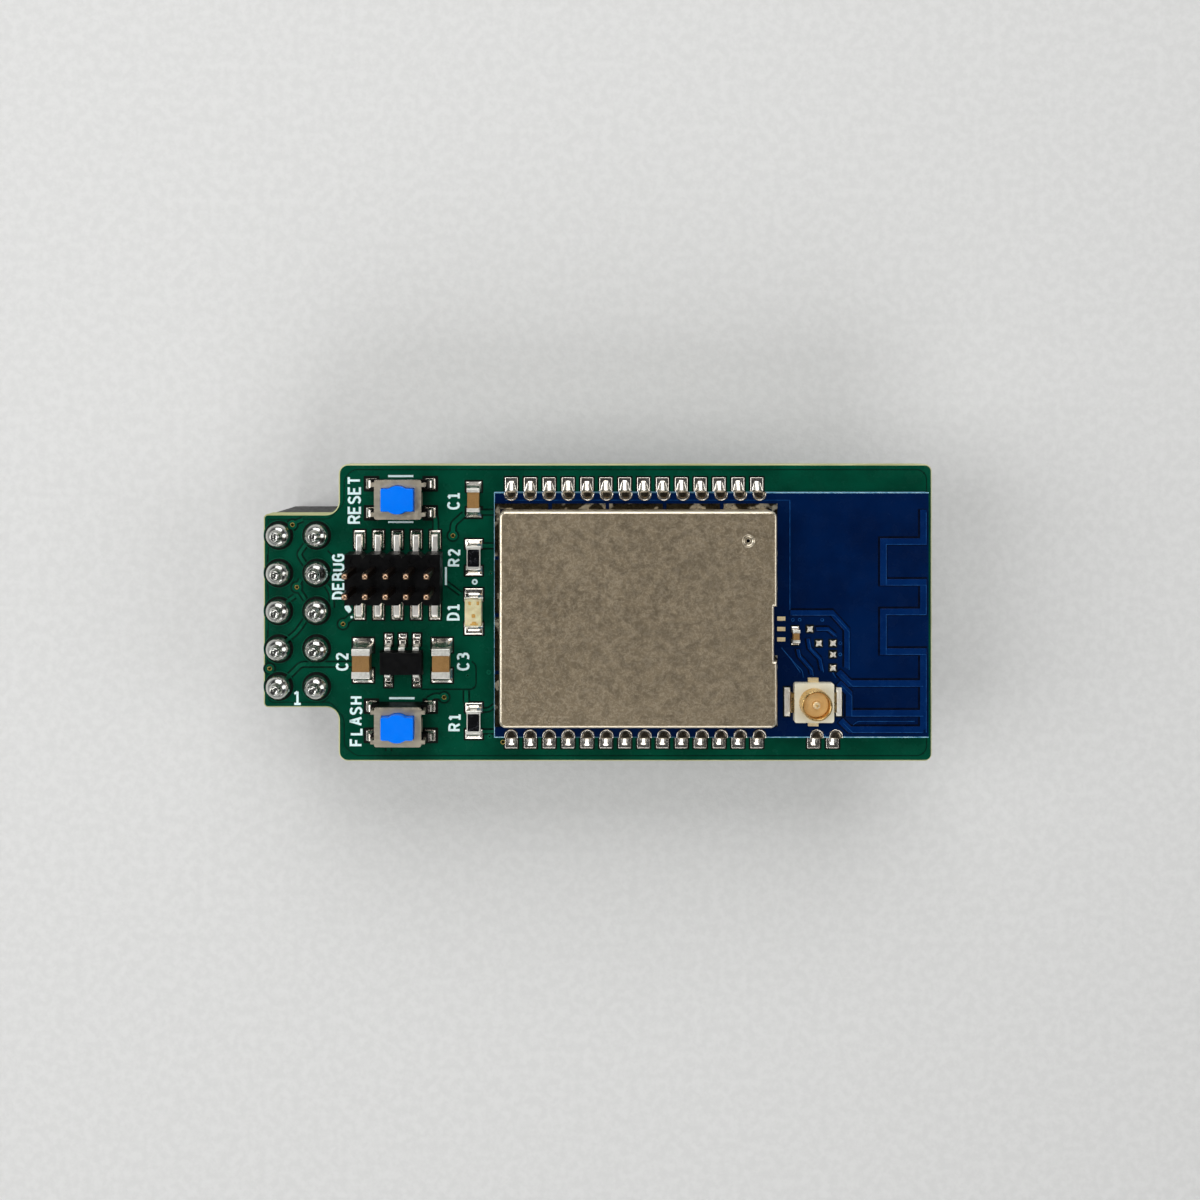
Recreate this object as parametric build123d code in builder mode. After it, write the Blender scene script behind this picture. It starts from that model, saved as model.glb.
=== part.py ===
# A plug-in 2.4 GHz radio board. A green carrier board carries two push switches, a fine
# pin header, a small regulator and chip parts at its left end, and a blue radio board
# with a soldered shield can, a printed antenna and a coaxial port over the rest.
# It plugs down onto a post header with the pin socket under its narrow tab.
#
# Frame, in millimetres: the origin is the centre of the pin socket's mating face.
# +X runs along the board towards the antenna, +Y across it towards the reset switch,
# and +Z up, away from the host.

import os
from math import atan2, degrees

from build123d import *

os.makedirs("parts", exist_ok=True)

# Pin socket under the tab
socket_pitch = 2.54
socket_columns = 2
socket_rows = 5
socket_rim = 1.23  # plastic outside the outer posts' centres
socket_height = 8.5
socket_edge_chamfer = 0.25
post_side = 0.64
post_clearance = 0.08  # each side of a post in its hole
post_mouth = 1.15  # square mouth at the mating face
mouth_depth = 0.5
contact_room_x = 1.7
contact_room_y = 1.3
contact_floor = 1.1  # plastic below the contacts' rooms
contact_roof = 1.2  # plastic above them
leaf_thickness = 0.2
leaf_side_clearance = 0.2
leaf_pinch = 0.04  # each leaf's pinch on a post
leaf_tip_share = 0.06  # heights of a leaf's tip, pinch and shoulder, as shares of its length
leaf_pinch_share = 0.2
leaf_shoulder_share = 0.7

# The contacts' soldered tails
tail_side = 0.5
tail_clearance = 0.02
tail_length_above_board = 1.3
tail_tip_chamfer = 0.1
hole_radius = 0.5
bead_land = 0.34  # bead beyond the hole's edge
bead_height = 0.98
bead_top_radius = 0.42
bead_belly_radius = 0.74
bead_belly_height = 0.57

# Carrier board
board_thickness = 1.6
socket_overhang = 0.18  # socket beyond the tab's end
tab_root_gap = 0.23  # from the socket to the board's shoulders
tab_margin = 0.2  # board beyond each end of the socket
tab_shift = 0.13  # the tab lies this far off the board's centre line
module_end_margin = 0.55
tab_corner_radius = 0.3
root_fillet_radius = 0.85
shoulder_radius = 0.65
far_corner_radius = 0.5
edge_chamfer = 0.09
via_radius = 0.13
socket_vias = [(-0.37, 5.79), (-0.07, 1.59), (-1.9, -3.89)]  # from the socket's centre
carrier_vias = [  # from the tab's root and the board's centre line
    (0.31, -0.76),
    (7.11, -5.69),
    (7.7, 5.19),
    (8.71, -4.26),
    (10.15, -8.32),
    (10.25, 2.65),
    (11.07, -8.7),
]

# Gaps between the parts on the carrier board, from its upper edge down
reset_margin = 0.96
reset_header_gap = 0.8
header_regulator_gap = 0.94
regulator_flash_gap = 0.93
flash_margin = 1.39

# The same along the board, from the tab's root to the radio board
regulator_row_margin = 0.975
regulator_cap_gap = 0.495
cap_column_gap = 0.8
column_module_gap = 0.775
header_shift = -0.36  # from the regulator's centre
switch_shift = -0.13
small_cap_inset = 2.38  # from the board's upper edge
cap_resistor_spacing = 3.89
resistor_light_spacing = 3.64

# Solder and copper
pad_height = 0.05  # solder under every part, and under the radio board
foil = 0.05  # copper under its mask, standing up from a board
solder_curve = [(1, 0), (0.55, 0.12), (0.25, 0.4), (0, 1)]  # shares of a fillet's size
solder_climb = 0.55  # share of a chip part's height
solder_toe = 0.85  # share of a pad's reach

# Radio board
module_thickness = 0.8
can_left_margin = 0.4
antenna_zone = 10.44  # board beyond the shield can
land_seam_gap = 0.19  # between the notches' lands and the can's solder
rim_pitch = 1.27
rim_count = 14
rim_row_inset = 9.38  # from the radio board's left edge to the middle of its rows
rim_extra_count = 2
rim_extra_shift = 0.9  # from the coaxial port's centre
rim_notch_radius = 0.3
rim_land_depth = 0.55
rim_pad_width = 0.86
rim_pad_reach = 0.95  # solder pad outside the radio board
rim_pad_under = 0.5
rim_solder_rise = 0.64
rim_solder_toe = 0.76

# Shield can on the radio board
can_length = 18.05
can_width = 14.1
can_height = 1.8
can_wall = 0.2
can_corner_radius = 0.45
can_top_radius = 0.22
can_window_pitch = 1.9
can_window_width = 1.2
can_window_height = 0.3
can_gate_length = 3.5  # recess in the wall towards the antenna
can_gate_depth = 0.19
can_gate_shift = 4.83  # from the coaxial port's centre
can_dimple_inset = 1.88  # from the can's end at the antenna side
can_dimple_edge_inset = 1.95
can_dimple_radius = 0.36
can_dimple_depth = 0.13
can_dimple_hole_radius = 0.12
can_seam_width = 0.36
can_seam_height = 0.12
can_seam_gap = 0.25

# Chips under the shield can
radio_chip_side = 7.0
radio_chip_height = 0.85
radio_chip_shift_x = -1.94  # from the can's centre
radio_chip_shift_y = 1.2
crystal_length = 2.5
crystal_width = 2.0
crystal_height = 0.55
crystal_gap = 1.0
slow_crystal_length = 3.2
slow_crystal_width = 1.5
inner_chip_length = 1.0
inner_chip_width = 0.5
inner_chip_height = 0.5
inner_chip_pitch = 1.5
inner_chip_count = 8
inner_chip_gap = 0.5  # from the radio chip

# Push switches
switch_block_length = 2.8
switch_block_width = 2.6
switch_block_height = 1.4
switch_wall_x = 0.15
switch_wall_y = 0.22
switch_well_floor = 0.35
switch_ear_reach = 0.48
switch_ear_width = 0.62
switch_ear_height = 0.75
switch_ear_inset = 0.01  # from the block's side to an ear
cover_sheet = 0.15
cover_tab_clearance = 0.24  # between a side tab and the ears
cover_tab_drop = 0.75
cover_hook_width = 0.26
cover_hook_reach = 0.24
button_length = 2.13
button_width = 1.5
button_bulge = 0.18  # round bulge in the middle of each long side
button_corner_radius = 0.12
button_edge_radius = 0.04
button_rise = 0.45  # above the cover
button_clearance = 0.04
flange_clearance = 0.045
flange_height = 0.3
flange_gap = 0.02  # below the cover
dome_clearance = 0.13  # between the dome's rim and the well's sides
dome_shoulder_radius = 0.72
dome_shoulder_height = 0.285
dome_crown_radius = 0.3
dome_height = 0.38
dome_sheet = 0.06
nib_radius = 0.3
nib_gap = 0.02  # above the dome
terminal_margin = 0.08  # from an ear's sides to its terminal
terminal_sheet = 0.15
terminal_bend = 0.09
terminal_root = 0.3  # length inside an ear
terminal_reach = 0.36
switch_pad_width = 0.72
switch_pad_length = 0.72
switch_pad_toe = 0.1

# Fine pin header
header_pitch = 1.27
header_columns = 5
header_end_margin = 0.56  # plastic beyond the outer pins' centres
header_side_margin = 1.015
header_body_base = 0.55
header_body_top = 2.5
header_notch = 0.16
header_mark_radius = 0.21
header_mark_inset = 0.42
header_mark_depth = 0.06
header_pin_side = 0.4
header_pin_top = 5.5
header_pin_tip = 0.1
header_tail_out = 1.1  # tail beyond the plastic
header_tail_bend = 0.28
header_pad_width = 0.74
header_pad_start = 0.1
header_pad_toe = 0.26

# Voltage regulator
regulator_pitch = 0.95
regulator_end_margin = 0.5
regulator_width = 1.6
regulator_height = 1.1
regulator_stand = 0.06
regulator_draft = 8
regulator_lead_width = 0.4
regulator_lead_sheet = 0.15
regulator_lead_rise = 0.55
regulator_lead_root = 0.3  # length inside the body
regulator_lead_shoulder = 0.24
regulator_lead_slope = 0.05
regulator_lead_bend = 0.165
regulator_lead_out = 0.6
regulator_pad_width = 0.53
regulator_pad_start = 0.18
regulator_pad_toe = 0.4

# Chip capacitors, chip resistors and the light, all lying along Y
plating = 0.04
large_cap_length = 2.0
large_cap_width = 1.2
large_cap_height = 1.1
large_cap_band = 0.46
large_cap_pad_side = 0.105  # pad beyond the part's sides
large_cap_pad_reach = 0.5
small_cap_length = 1.6
small_cap_width = 0.85
small_cap_height = 0.8
small_cap_band = 0.27
small_pad_side = 0.1
small_pad_reach = 0.42
resistor_length = 1.6
resistor_width = 0.98
resistor_height = 0.45
resistor_band = 0.22
resistor_coat_margin = 0.1
resistor_coat_height = 0.03
light_length = 2.0
light_width = 1.25
light_base_height = 0.3
light_band = 0.28
light_lens_height = 0.45
light_lens_length = 1.44
light_lens_draft = 6
light_die_side = 0.26
light_die_height = 0.12
light_die_shift = 0.17
light_pad_reach = 0.56

# Coaxial port on the radio board
coax_can_gap = 2.74  # from the shield can to the port's centre
coax_edge_inset = 2.39  # from the radio board's lower edge to the port's centre
coax_block = 2.62
coax_block_height = 0.4
coax_block_radius = 0.16
coax_floor_rise = 0.15  # the ring's floor above the block
coax_ring_radius = 1.0
coax_ring_wall = 0.14
coax_ring_height = 1.2  # above the radio board
coax_ring_chamfer = 0.05
coax_wing_level = 0.2
coax_wing_width = 1.3
coax_wing_reach = 0.2
coax_sheet = 0.12
coax_pin_radius = 0.25
coax_pin_height = 1.1
coax_pin_chamfer = 0.06
coax_pin_hole_radius = 0.09
coax_pin_hole_depth = 0.18
coax_signal_width = 0.7
coax_signal_reach = 0.3
coax_foot_width = 1.95
coax_foot_length = 0.42

# Antenna matching parts, from the coaxial port's centre
filter_cap_point = (-1.18, 4.4)
filter_cap_length = 0.86
filter_cap_width = 0.48
filter_cap_height = 0.4
filter_cap_band = 0.2
filter_cap_pad_reach = 0.2
filter_dot_side = 0.46
filter_dot_waist = 0.18  # from a dot's centre to its hollow sides
filter_dots = [(-0.2, 4.83), (0.39, 3.88), (1.33, 3.88), (1.33, 3.15), (1.33, 2.25)]
filter_strip_gap = 0.36  # from the shield can
filter_strip_length = 0.54
filter_strip_width = 0.27
filter_strip_pitch = 0.69
filter_strip_count = 3

# Lines round the matching parts, from the coaxial port's centre
guard_width = 0.36
guard_points = [(-1.5, 5.9), (1.26, 5.9), (2.26, 4.79), (2.26, 2.25)]
feed_width = 0.24
feed_lines = [
    [(0.2, 4.83), (1.0, 4.83), (1.5, 4.4)],
    [(-0.33, 4.2), (-0.22, 3.57), (0.46, 2.85), (0.62, 2.05)],
    [(-1.0, 3.5), (-0.9, 3.04), (-0.13, 2.19), (-0.06, 1.8)],
]

# Printed antenna, measured in from the radio board's antenna end and its long edges
antenna_line = 0.44
antenna_outer = 0.36
antenna_inner = 3.02
antenna_start = 1.15  # from the upper edge
antenna_turns = [3.27, 5.98, 7.94, 10.58]
antenna_legs = [  # from the antenna end and the lower edge
    [(5.24, 3.6), (6.02, 4.38)],
    [(5.3, 1.62), (5.3, 2.95), (6.0, 3.65)],
    [(5.25, 0.53), (5.87, 1.15)],
]

# Levels and spans that follow from the sizes above
socket_width = socket_pitch * (socket_columns - 1) + 2 * socket_rim
socket_length = socket_pitch * (socket_rows - 1) + 2 * socket_rim
board_top = socket_height + board_thickness
module_base = board_top + pad_height
module_top = module_base + module_thickness
room_top = socket_height - contact_roof
switch_ear_end = switch_block_length / 2 + switch_ear_reach
switch_ear_y = switch_block_width / 2 - switch_ear_inset - switch_ear_width / 2
switch_pad_span = 2 * switch_ear_y + switch_pad_width
header_length = header_pitch * (header_columns - 1) + 2 * header_end_margin
header_width = header_pitch + 2 * header_side_margin
header_pad_inner = header_width / 2 + header_pad_start
header_pad_outer = header_width / 2 + header_tail_out + header_pad_toe
regulator_length = 2 * (regulator_pitch + regulator_end_margin)
regulator_lead_end = regulator_width / 2 + regulator_lead_out
regulator_pad_inner = regulator_width / 2 + regulator_pad_start
regulator_pad_outer = regulator_lead_end + regulator_pad_toe
large_cap_pad_width = large_cap_width + 2 * large_cap_pad_side
large_cap_spacing = regulator_length / 2 + regulator_cap_gap + large_cap_pad_width / 2

# Outline of both boards
tab_width = socket_length + 2 * tab_margin
tab_end = socket_overhang - socket_width / 2
tab_root = socket_width / 2 + tab_root_gap
regulator_x = regulator_row_margin + large_cap_pad_width / 2 + large_cap_spacing
column_x = (
    regulator_x + large_cap_spacing + large_cap_pad_width / 2 + cap_column_gap + light_width / 2
)
module_left = tab_root + column_x + light_width / 2 + column_module_gap
module_length = can_left_margin + can_length + antenna_zone
module_width = can_width + 2 * (can_seam_width + land_seam_gap + rim_land_depth)
module_right = module_left + module_length
board_right = module_right + module_end_margin
board_width = (
    reset_margin
    + switch_pad_span
    + reset_header_gap
    + 2 * header_pad_outer
    + header_regulator_gap
    + 2 * regulator_pad_outer
    + regulator_flash_gap
    + switch_pad_span
    + flash_margin
)
board_middle = -tab_shift
board_upper = board_width / 2

# Places of the parts, across the carrier board
reset_y = board_upper - reset_margin - switch_pad_span / 2
header_y = reset_y - switch_pad_span / 2 - reset_header_gap - header_pad_outer
regulator_y = header_y - header_pad_outer - header_regulator_gap - regulator_pad_outer
flash_y = regulator_y - regulator_pad_outer - regulator_flash_gap - switch_pad_span / 2
small_cap_y = board_upper - small_cap_inset
upper_resistor_y = small_cap_y - cap_resistor_spacing
light_y = upper_resistor_y - resistor_light_spacing


def write(piece, name):
    """Labels a finished piece and writes it as its own file."""
    piece.part.label = name
    export_step(piece.part, f"parts/{name}.step")


def carrier_seat(x, y):
    """A part's seat on the carrier board, from the tab's root and the board's centre line."""
    return Plane((tab_root + x, board_middle + y, board_top))


def module_seat(x, y):
    """A part's seat on the radio board, from its left edge and its centre line."""
    return Plane((module_left + x, board_middle + y, module_top))


def lengthwise(seat):
    """The upright plane through a seat whose first axis is +Y and whose second is +Z."""
    return Plane(seat.origin, x_dir=(0, 1, 0), z_dir=(1, 0, 0))


def crosswise(seat):
    """The upright plane through a seat whose first axis is +X and whose second is +Z."""
    return Plane(seat.origin, x_dir=(1, 0, 0), z_dir=(0, -1, 0))


def solder_fillet(corner, reach, rise):
    """The outline of a solder fillet in a corner: out along the base, up the wall."""
    return [corner] + [(corner[0] + out * reach, corner[1] + up * rise) for out, up in solder_curve]


# Carrier board: narrow tab, rounded shoulders, plated holes and vias
with BuildPart() as carrier_board:
    with BuildSketch(Plane.XY.offset(socket_height)) as outline:
        with Locations(((tab_root + board_right) / 2, board_middle)):
            Rectangle(board_right - tab_root, board_width)
        with Locations(((tab_end + tab_root) / 2, 0)):
            Rectangle(tab_root - tab_end, tab_width)
        fillet(outline.vertices().group_by(Axis.X)[1].sort_by(Axis.Y)[1:3], root_fillet_radius)
        fillet(outline.vertices().group_by(Axis.X)[0], tab_corner_radius)
        fillet(outline.vertices().group_by(Axis.X)[-1], far_corner_radius)
        rows = outline.vertices().group_by(Axis.Y)
        fillet([rows[0].sort_by(Axis.X)[0], rows[-1].sort_by(Axis.X)[0]], shoulder_radius)
    extrude(amount=board_thickness)
    rims = carrier_board.faces().filter_by(Axis.Z)
    chamfer([rim.outer_wire().edges() for rim in rims], edge_chamfer)
    with BuildSketch(Plane.XY.offset(socket_height)):
        with GridLocations(socket_pitch, socket_pitch, socket_columns, socket_rows):
            Circle(hole_radius)
        with Locations(socket_vias):
            Circle(via_radius)
        with Locations([(tab_root + x, board_middle + y) for x, y in carrier_vias]):
            Circle(via_radius)
    extrude(amount=board_thickness, mode=Mode.SUBTRACT)
write(carrier_board, "carrier_board")

# Pin socket: a moulded block with a tapered mouth, a post hole, a room for each
# contact's leaves and a slot for its tail
post_hole = post_side + 2 * post_clearance
mouth_taper = degrees(atan2((post_mouth - post_hole) / 2, mouth_depth))
tail_slot = tail_side + 2 * tail_clearance
with BuildPart() as socket_housing:
    with BuildSketch():
        Rectangle(socket_width, socket_length)
    extrude(amount=socket_height)
    chamfer(socket_housing.edges().group_by(Axis.Z)[0], socket_edge_chamfer)
    with BuildSketch():
        with GridLocations(socket_pitch, socket_pitch, socket_columns, socket_rows):
            Rectangle(post_mouth, post_mouth)
    extrude(amount=mouth_depth, taper=mouth_taper, mode=Mode.SUBTRACT)
    with BuildSketch():
        with GridLocations(socket_pitch, socket_pitch, socket_columns, socket_rows):
            Rectangle(post_hole, post_hole)
    extrude(amount=contact_floor, mode=Mode.SUBTRACT)
    with BuildSketch(Plane.XY.offset(contact_floor)):
        with GridLocations(socket_pitch, socket_pitch, socket_columns, socket_rows):
            Rectangle(contact_room_x, contact_room_y)
    extrude(amount=room_top - contact_floor, mode=Mode.SUBTRACT)
    with BuildSketch(Plane.XY.offset(room_top)):
        with GridLocations(socket_pitch, socket_pitch, socket_columns, socket_rows):
            Rectangle(tail_slot, tail_slot)
    extrude(amount=contact_roof, mode=Mode.SUBTRACT)
write(socket_housing, "socket_housing")

# One socket contact: two sprung leaves that pinch a post, bridged under a square tail
leaf_inner = contact_room_x / 2 - leaf_thickness
leaf_top = room_top - leaf_thickness
leaf_length = leaf_top - contact_floor
leaf_width = contact_room_y - 2 * leaf_side_clearance
pinch_x = post_side / 2 - leaf_pinch
with BuildPart() as contact:
    with BuildSketch(Plane.XZ):
        with BuildLine():
            leaf = Polyline(
                (pinch_x + leaf_thickness, contact_floor + leaf_tip_share * leaf_length),
                (pinch_x, contact_floor + leaf_pinch_share * leaf_length),
                (leaf_inner, contact_floor + leaf_shoulder_share * leaf_length),
                (leaf_inner, leaf_top),
                (0, leaf_top),
            )
            mirror(leaf, about=Plane.YZ)
            offset(amount=leaf_thickness, side=Side.RIGHT)
        make_face()
    extrude(amount=leaf_width / 2, both=True)
    with BuildSketch(Plane.XY.offset(room_top)):
        Rectangle(tail_side, tail_side)
    extrude(amount=contact_roof + board_thickness + tail_length_above_board)
    chamfer(contact.faces().sort_by(Axis.Z)[-1].edges(), tail_tip_chamfer)
with BuildPart() as socket_contacts:
    with GridLocations(socket_pitch, socket_pitch, socket_columns, socket_rows):
        add(contact.part)
write(socket_contacts, "socket_contacts")

# One soldered tail: the plated hole filled, with a round bead on top
bead_radius = hole_radius + bead_land
bead_top = board_top + bead_height
with BuildPart() as tail_joint:
    with BuildSketch(Plane.XZ):
        with BuildLine():
            Polyline(
                (bead_top_radius, bead_top),
                (0, bead_top),
                (0, socket_height),
                (hole_radius, socket_height),
                (hole_radius, board_top),
                (bead_radius, board_top),
                (bead_radius, board_top + foil),
            )
            ThreePointArc(
                (bead_radius, board_top + foil),
                (bead_belly_radius, board_top + bead_belly_height),
                (bead_top_radius, bead_top),
            )
        make_face()
    revolve(axis=Axis.Z)
    with BuildSketch(Plane.XY.offset(socket_height)):
        Rectangle(tail_side, tail_side)
    extrude(amount=board_thickness + bead_height, mode=Mode.SUBTRACT)
with BuildPart() as socket_joints:
    with GridLocations(socket_pitch, socket_pitch, socket_columns, socket_rows):
        add(tail_joint.part)
write(socket_joints, "socket_joints")


def switch_terminals(seat):
    """Four bent terminals, each rising from its pad into an ear of the base."""
    stand = seat.offset(pad_height)
    drop_x = switch_ear_end + terminal_sheet
    with BuildPart() as terminal:
        with BuildSketch(crosswise(stand)):
            with BuildLine():
                FilletPolyline(
                    (switch_ear_end - terminal_root, switch_ear_height / 2),
                    (drop_x, switch_ear_height / 2),
                    (drop_x, 0),
                    (switch_ear_end + terminal_reach, 0),
                    radius=terminal_bend,
                )
                offset(amount=terminal_sheet, side=Side.LEFT)
            make_face()
        extrude(amount=switch_ear_width / 2 - terminal_margin, both=True)
    with BuildPart() as terminals:
        with Locations((0, switch_ear_y, 0), (0, -switch_ear_y, 0)):
            add(terminal.part)
        mirror(about=Plane(seat.origin, z_dir=(1, 0, 0)))
    return terminals


def switch_base(seat, terminals):
    """The moulded base: a block with an open well, and four ears for the terminals."""
    stand = seat.offset(pad_height)
    with BuildPart() as base:
        with BuildSketch(stand):
            Rectangle(switch_block_length, switch_block_width)
        extrude(amount=switch_block_height)
        with BuildSketch(stand):
            with Locations((0, switch_ear_y), (0, -switch_ear_y)):
                Rectangle(2 * switch_ear_end, switch_ear_width)
        extrude(amount=switch_ear_height)
        with BuildSketch(stand.offset(switch_well_floor)):
            Rectangle(
                switch_block_length - 2 * switch_wall_x, switch_block_width - 2 * switch_wall_y
            )
        extrude(amount=switch_block_height, mode=Mode.SUBTRACT)
        add(terminals.part, mode=Mode.SUBTRACT)
    return base


def snap_dome(seat):
    """The sprung dome that stands on the well's floor."""
    rim = switch_block_width / 2 - switch_wall_y - dome_clearance
    with BuildPart() as dome:
        with BuildSketch(crosswise(seat.offset(pad_height + switch_well_floor))):
            with BuildLine():
                Polyline(
                    (0, dome_height),
                    (dome_crown_radius, dome_height),
                    (dome_shoulder_radius, dome_shoulder_height),
                    (rim, 0),
                    (rim - dome_sheet, 0),
                    (dome_shoulder_radius - dome_sheet, dome_shoulder_height - dome_sheet),
                    (dome_crown_radius, dome_height - dome_sheet),
                    (0, dome_height - dome_sheet),
                    close=True,
                )
            make_face()
        revolve(axis=Axis(seat.origin, (0, 0, 1)))
    return dome


def switch_cover(seat):
    """The sheet cover: an opening for the button, two side tabs and four corner hooks."""
    stand = seat.offset(pad_height)
    level = stand.offset(switch_block_height)
    hook_end = switch_block_length / 2 + cover_sheet + cover_hook_reach
    opening_width = button_width + 2 * button_clearance
    tab_width_y = 2 * (switch_ear_y - switch_ear_width / 2 - cover_tab_clearance)
    with BuildPart() as cover:
        with BuildSketch(level) as sheet:
            Rectangle(switch_block_length + 2 * cover_sheet, switch_block_width)
            fillet(sheet.vertices(), cover_sheet)
            with Locations((0, switch_ear_y), (0, -switch_ear_y)):
                Rectangle(2 * hook_end, cover_hook_width)
            Rectangle(button_length + 2 * button_clearance, opening_width, mode=Mode.SUBTRACT)
            Circle(opening_width / 2 + button_bulge, mode=Mode.SUBTRACT)
        extrude(amount=cover_sheet)
        with BuildSketch(level):
            with GridLocations(switch_block_length + cover_sheet, 0, 2, 1):
                Rectangle(cover_sheet, tab_width_y)
        extrude(amount=-cover_tab_drop)
        with BuildSketch(stand.offset(switch_ear_height)):
            with GridLocations(2 * hook_end - cover_sheet, 2 * switch_ear_y, 2, 2):
                Rectangle(cover_sheet, cover_hook_width)
        extrude(amount=switch_block_height - switch_ear_height)
    return cover


def switch_button(seat):
    """The button: a crown through the cover, a flange it can't pass and a nib below."""
    stand = seat.offset(pad_height)
    flange_top = switch_block_height - flange_gap
    flange_base = flange_top - flange_height
    nib_end = switch_well_floor + dome_height + nib_gap
    with BuildPart() as button:
        with BuildSketch(stand.offset(flange_base)) as flange:
            Rectangle(
                switch_block_length - 2 * (switch_wall_x + flange_clearance),
                switch_block_width - 2 * (switch_wall_y + flange_clearance),
            )
            fillet(flange.vertices(), button_corner_radius)
        extrude(amount=flange_height)
        with BuildSketch(stand.offset(flange_top)) as crown:
            Rectangle(button_length, button_width)
            fillet(crown.vertices(), button_corner_radius)
            Circle(button_width / 2 + button_bulge)
        extrude(amount=flange_gap + cover_sheet + button_rise)
        fillet(button.faces().sort_by(Axis.Z)[-1].edges(), button_edge_radius)
        with BuildSketch(stand.offset(nib_end)):
            Circle(nib_radius)
        extrude(amount=flange_base - nib_end)
    return button


def switch_pads(seat):
    """The solder pads under the four terminals."""
    pad_x = switch_ear_end + terminal_reach + switch_pad_toe - switch_pad_length / 2
    with BuildPart() as pads:
        with BuildSketch(seat):
            with GridLocations(2 * pad_x, 2 * switch_ear_y, 2, 2):
                Rectangle(switch_pad_length, switch_pad_width)
        extrude(amount=pad_height)
    return pads


# Push switches
switch_x = regulator_x + switch_shift
for switch_name, switch_y in (("reset", reset_y), ("flash", flash_y)):
    switch_seat = carrier_seat(switch_x, switch_y)
    terminal_set = switch_terminals(switch_seat)
    write(terminal_set, f"{switch_name}_terminals")
    write(switch_base(switch_seat, terminal_set), f"{switch_name}_base")
    write(snap_dome(switch_seat), f"{switch_name}_dome")
    write(switch_cover(switch_seat), f"{switch_name}_cover")
    write(switch_button(switch_seat), f"{switch_name}_button")
    write(switch_pads(switch_seat), f"{switch_name}_pads")

# Fine pin header: moulded body, ten bent pins soldered to flat pads
header_seat = carrier_seat(regulator_x + header_shift, header_y)
pin_outer = (header_pitch + header_pin_side) / 2
foot_top = pad_height + header_pin_side
with BuildPart() as header_pin:
    with BuildSketch(lengthwise(header_seat)):
        with BuildLine():
            FilletPolyline(
                (pin_outer, header_pin_top),
                (pin_outer, foot_top),
                (header_width / 2 + header_tail_out, foot_top),
                radius=header_tail_bend,
            )
            offset(amount=header_pin_side, side=Side.RIGHT)
        make_face()
    extrude(amount=header_pin_side / 2, both=True)
    chamfer(header_pin.faces().sort_by(Axis.Z)[-1].edges(), header_pin_tip)
with BuildPart() as debug_header_pins:
    with GridLocations(header_pitch, 0, header_columns, 1):
        add(header_pin.part)
    mirror(about=Plane(header_seat.origin, z_dir=(0, 1, 0)))
write(debug_header_pins, "debug_header_pins")

with BuildPart() as debug_header_body:
    with BuildSketch(header_seat.offset(header_body_base)):
        Rectangle(header_length, header_width)
        with GridLocations(header_pitch, header_width, header_columns - 1, 2):
            Rectangle(2 * header_notch, 2 * header_notch, rotation=45, mode=Mode.SUBTRACT)
    extrude(amount=header_body_top - header_body_base)
    with BuildSketch(header_seat.offset(header_body_top)):
        with Locations((0, header_width / 2 - header_mark_inset)):
            with GridLocations(header_pitch, 0, header_columns, 1):
                Circle(header_mark_radius)
    extrude(amount=-header_mark_depth, mode=Mode.SUBTRACT)
    add(debug_header_pins.part, mode=Mode.SUBTRACT)
write(debug_header_body, "debug_header_body")

with BuildPart() as debug_header_pads:
    with BuildSketch(header_seat):
        with GridLocations(header_pitch, header_pad_inner + header_pad_outer, header_columns, 2):
            Rectangle(header_pad_width, header_pad_outer - header_pad_inner)
    extrude(amount=pad_height)
write(debug_header_pads, "debug_header_pads")

# Regulator: drafted body with three bent leads on one side and two on the other
regulator_seat = carrier_seat(regulator_x, regulator_y)
lead_top = regulator_lead_rise + regulator_lead_sheet
lead_foot = pad_height + regulator_lead_sheet
lead_shoulder = regulator_width / 2 + regulator_lead_shoulder
with BuildPart() as regulator_lead:
    with BuildSketch(lengthwise(regulator_seat)):
        with BuildLine():
            FilletPolyline(
                (regulator_width / 2 - regulator_lead_root, lead_top),
                (lead_shoulder, lead_top),
                (lead_shoulder + regulator_lead_slope, lead_foot),
                (regulator_lead_end, lead_foot),
                radius=regulator_lead_bend,
            )
            offset(amount=regulator_lead_sheet, side=Side.RIGHT)
        make_face()
    extrude(amount=regulator_lead_width / 2, both=True)
with BuildPart() as regulator_leads:
    with GridLocations(2 * regulator_pitch, 0, 2, 1):
        add(regulator_lead.part)
    mirror(about=Plane(regulator_seat.origin, z_dir=(0, 1, 0)))
    add(regulator_lead.part)
write(regulator_leads, "regulator_leads")

parting = regulator_lead_rise + regulator_lead_sheet / 2
with BuildPart() as regulator_body:
    with BuildSketch(regulator_seat.offset(parting)):
        Rectangle(regulator_length, regulator_width)
    extrude(amount=pad_height + regulator_height - parting, taper=regulator_draft)
    with BuildSketch(regulator_seat.offset(parting)):
        Rectangle(regulator_length, regulator_width)
    extrude(amount=pad_height + regulator_stand - parting, taper=regulator_draft)
    add(regulator_leads.part, mode=Mode.SUBTRACT)
write(regulator_body, "regulator_body")

regulator_pad_y = (regulator_pad_outer + regulator_pad_inner) / 2
with BuildPart() as regulator_pads:
    with BuildSketch(regulator_seat):
        with Locations((0, regulator_pad_y)):
            Rectangle(regulator_pad_width, regulator_pad_outer - regulator_pad_inner)
        with GridLocations(2 * regulator_pitch, 2 * regulator_pad_y, 2, 2):
            Rectangle(regulator_pad_width, regulator_pad_outer - regulator_pad_inner)
    extrude(amount=pad_height)
write(regulator_pads, "regulator_pads")


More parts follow.
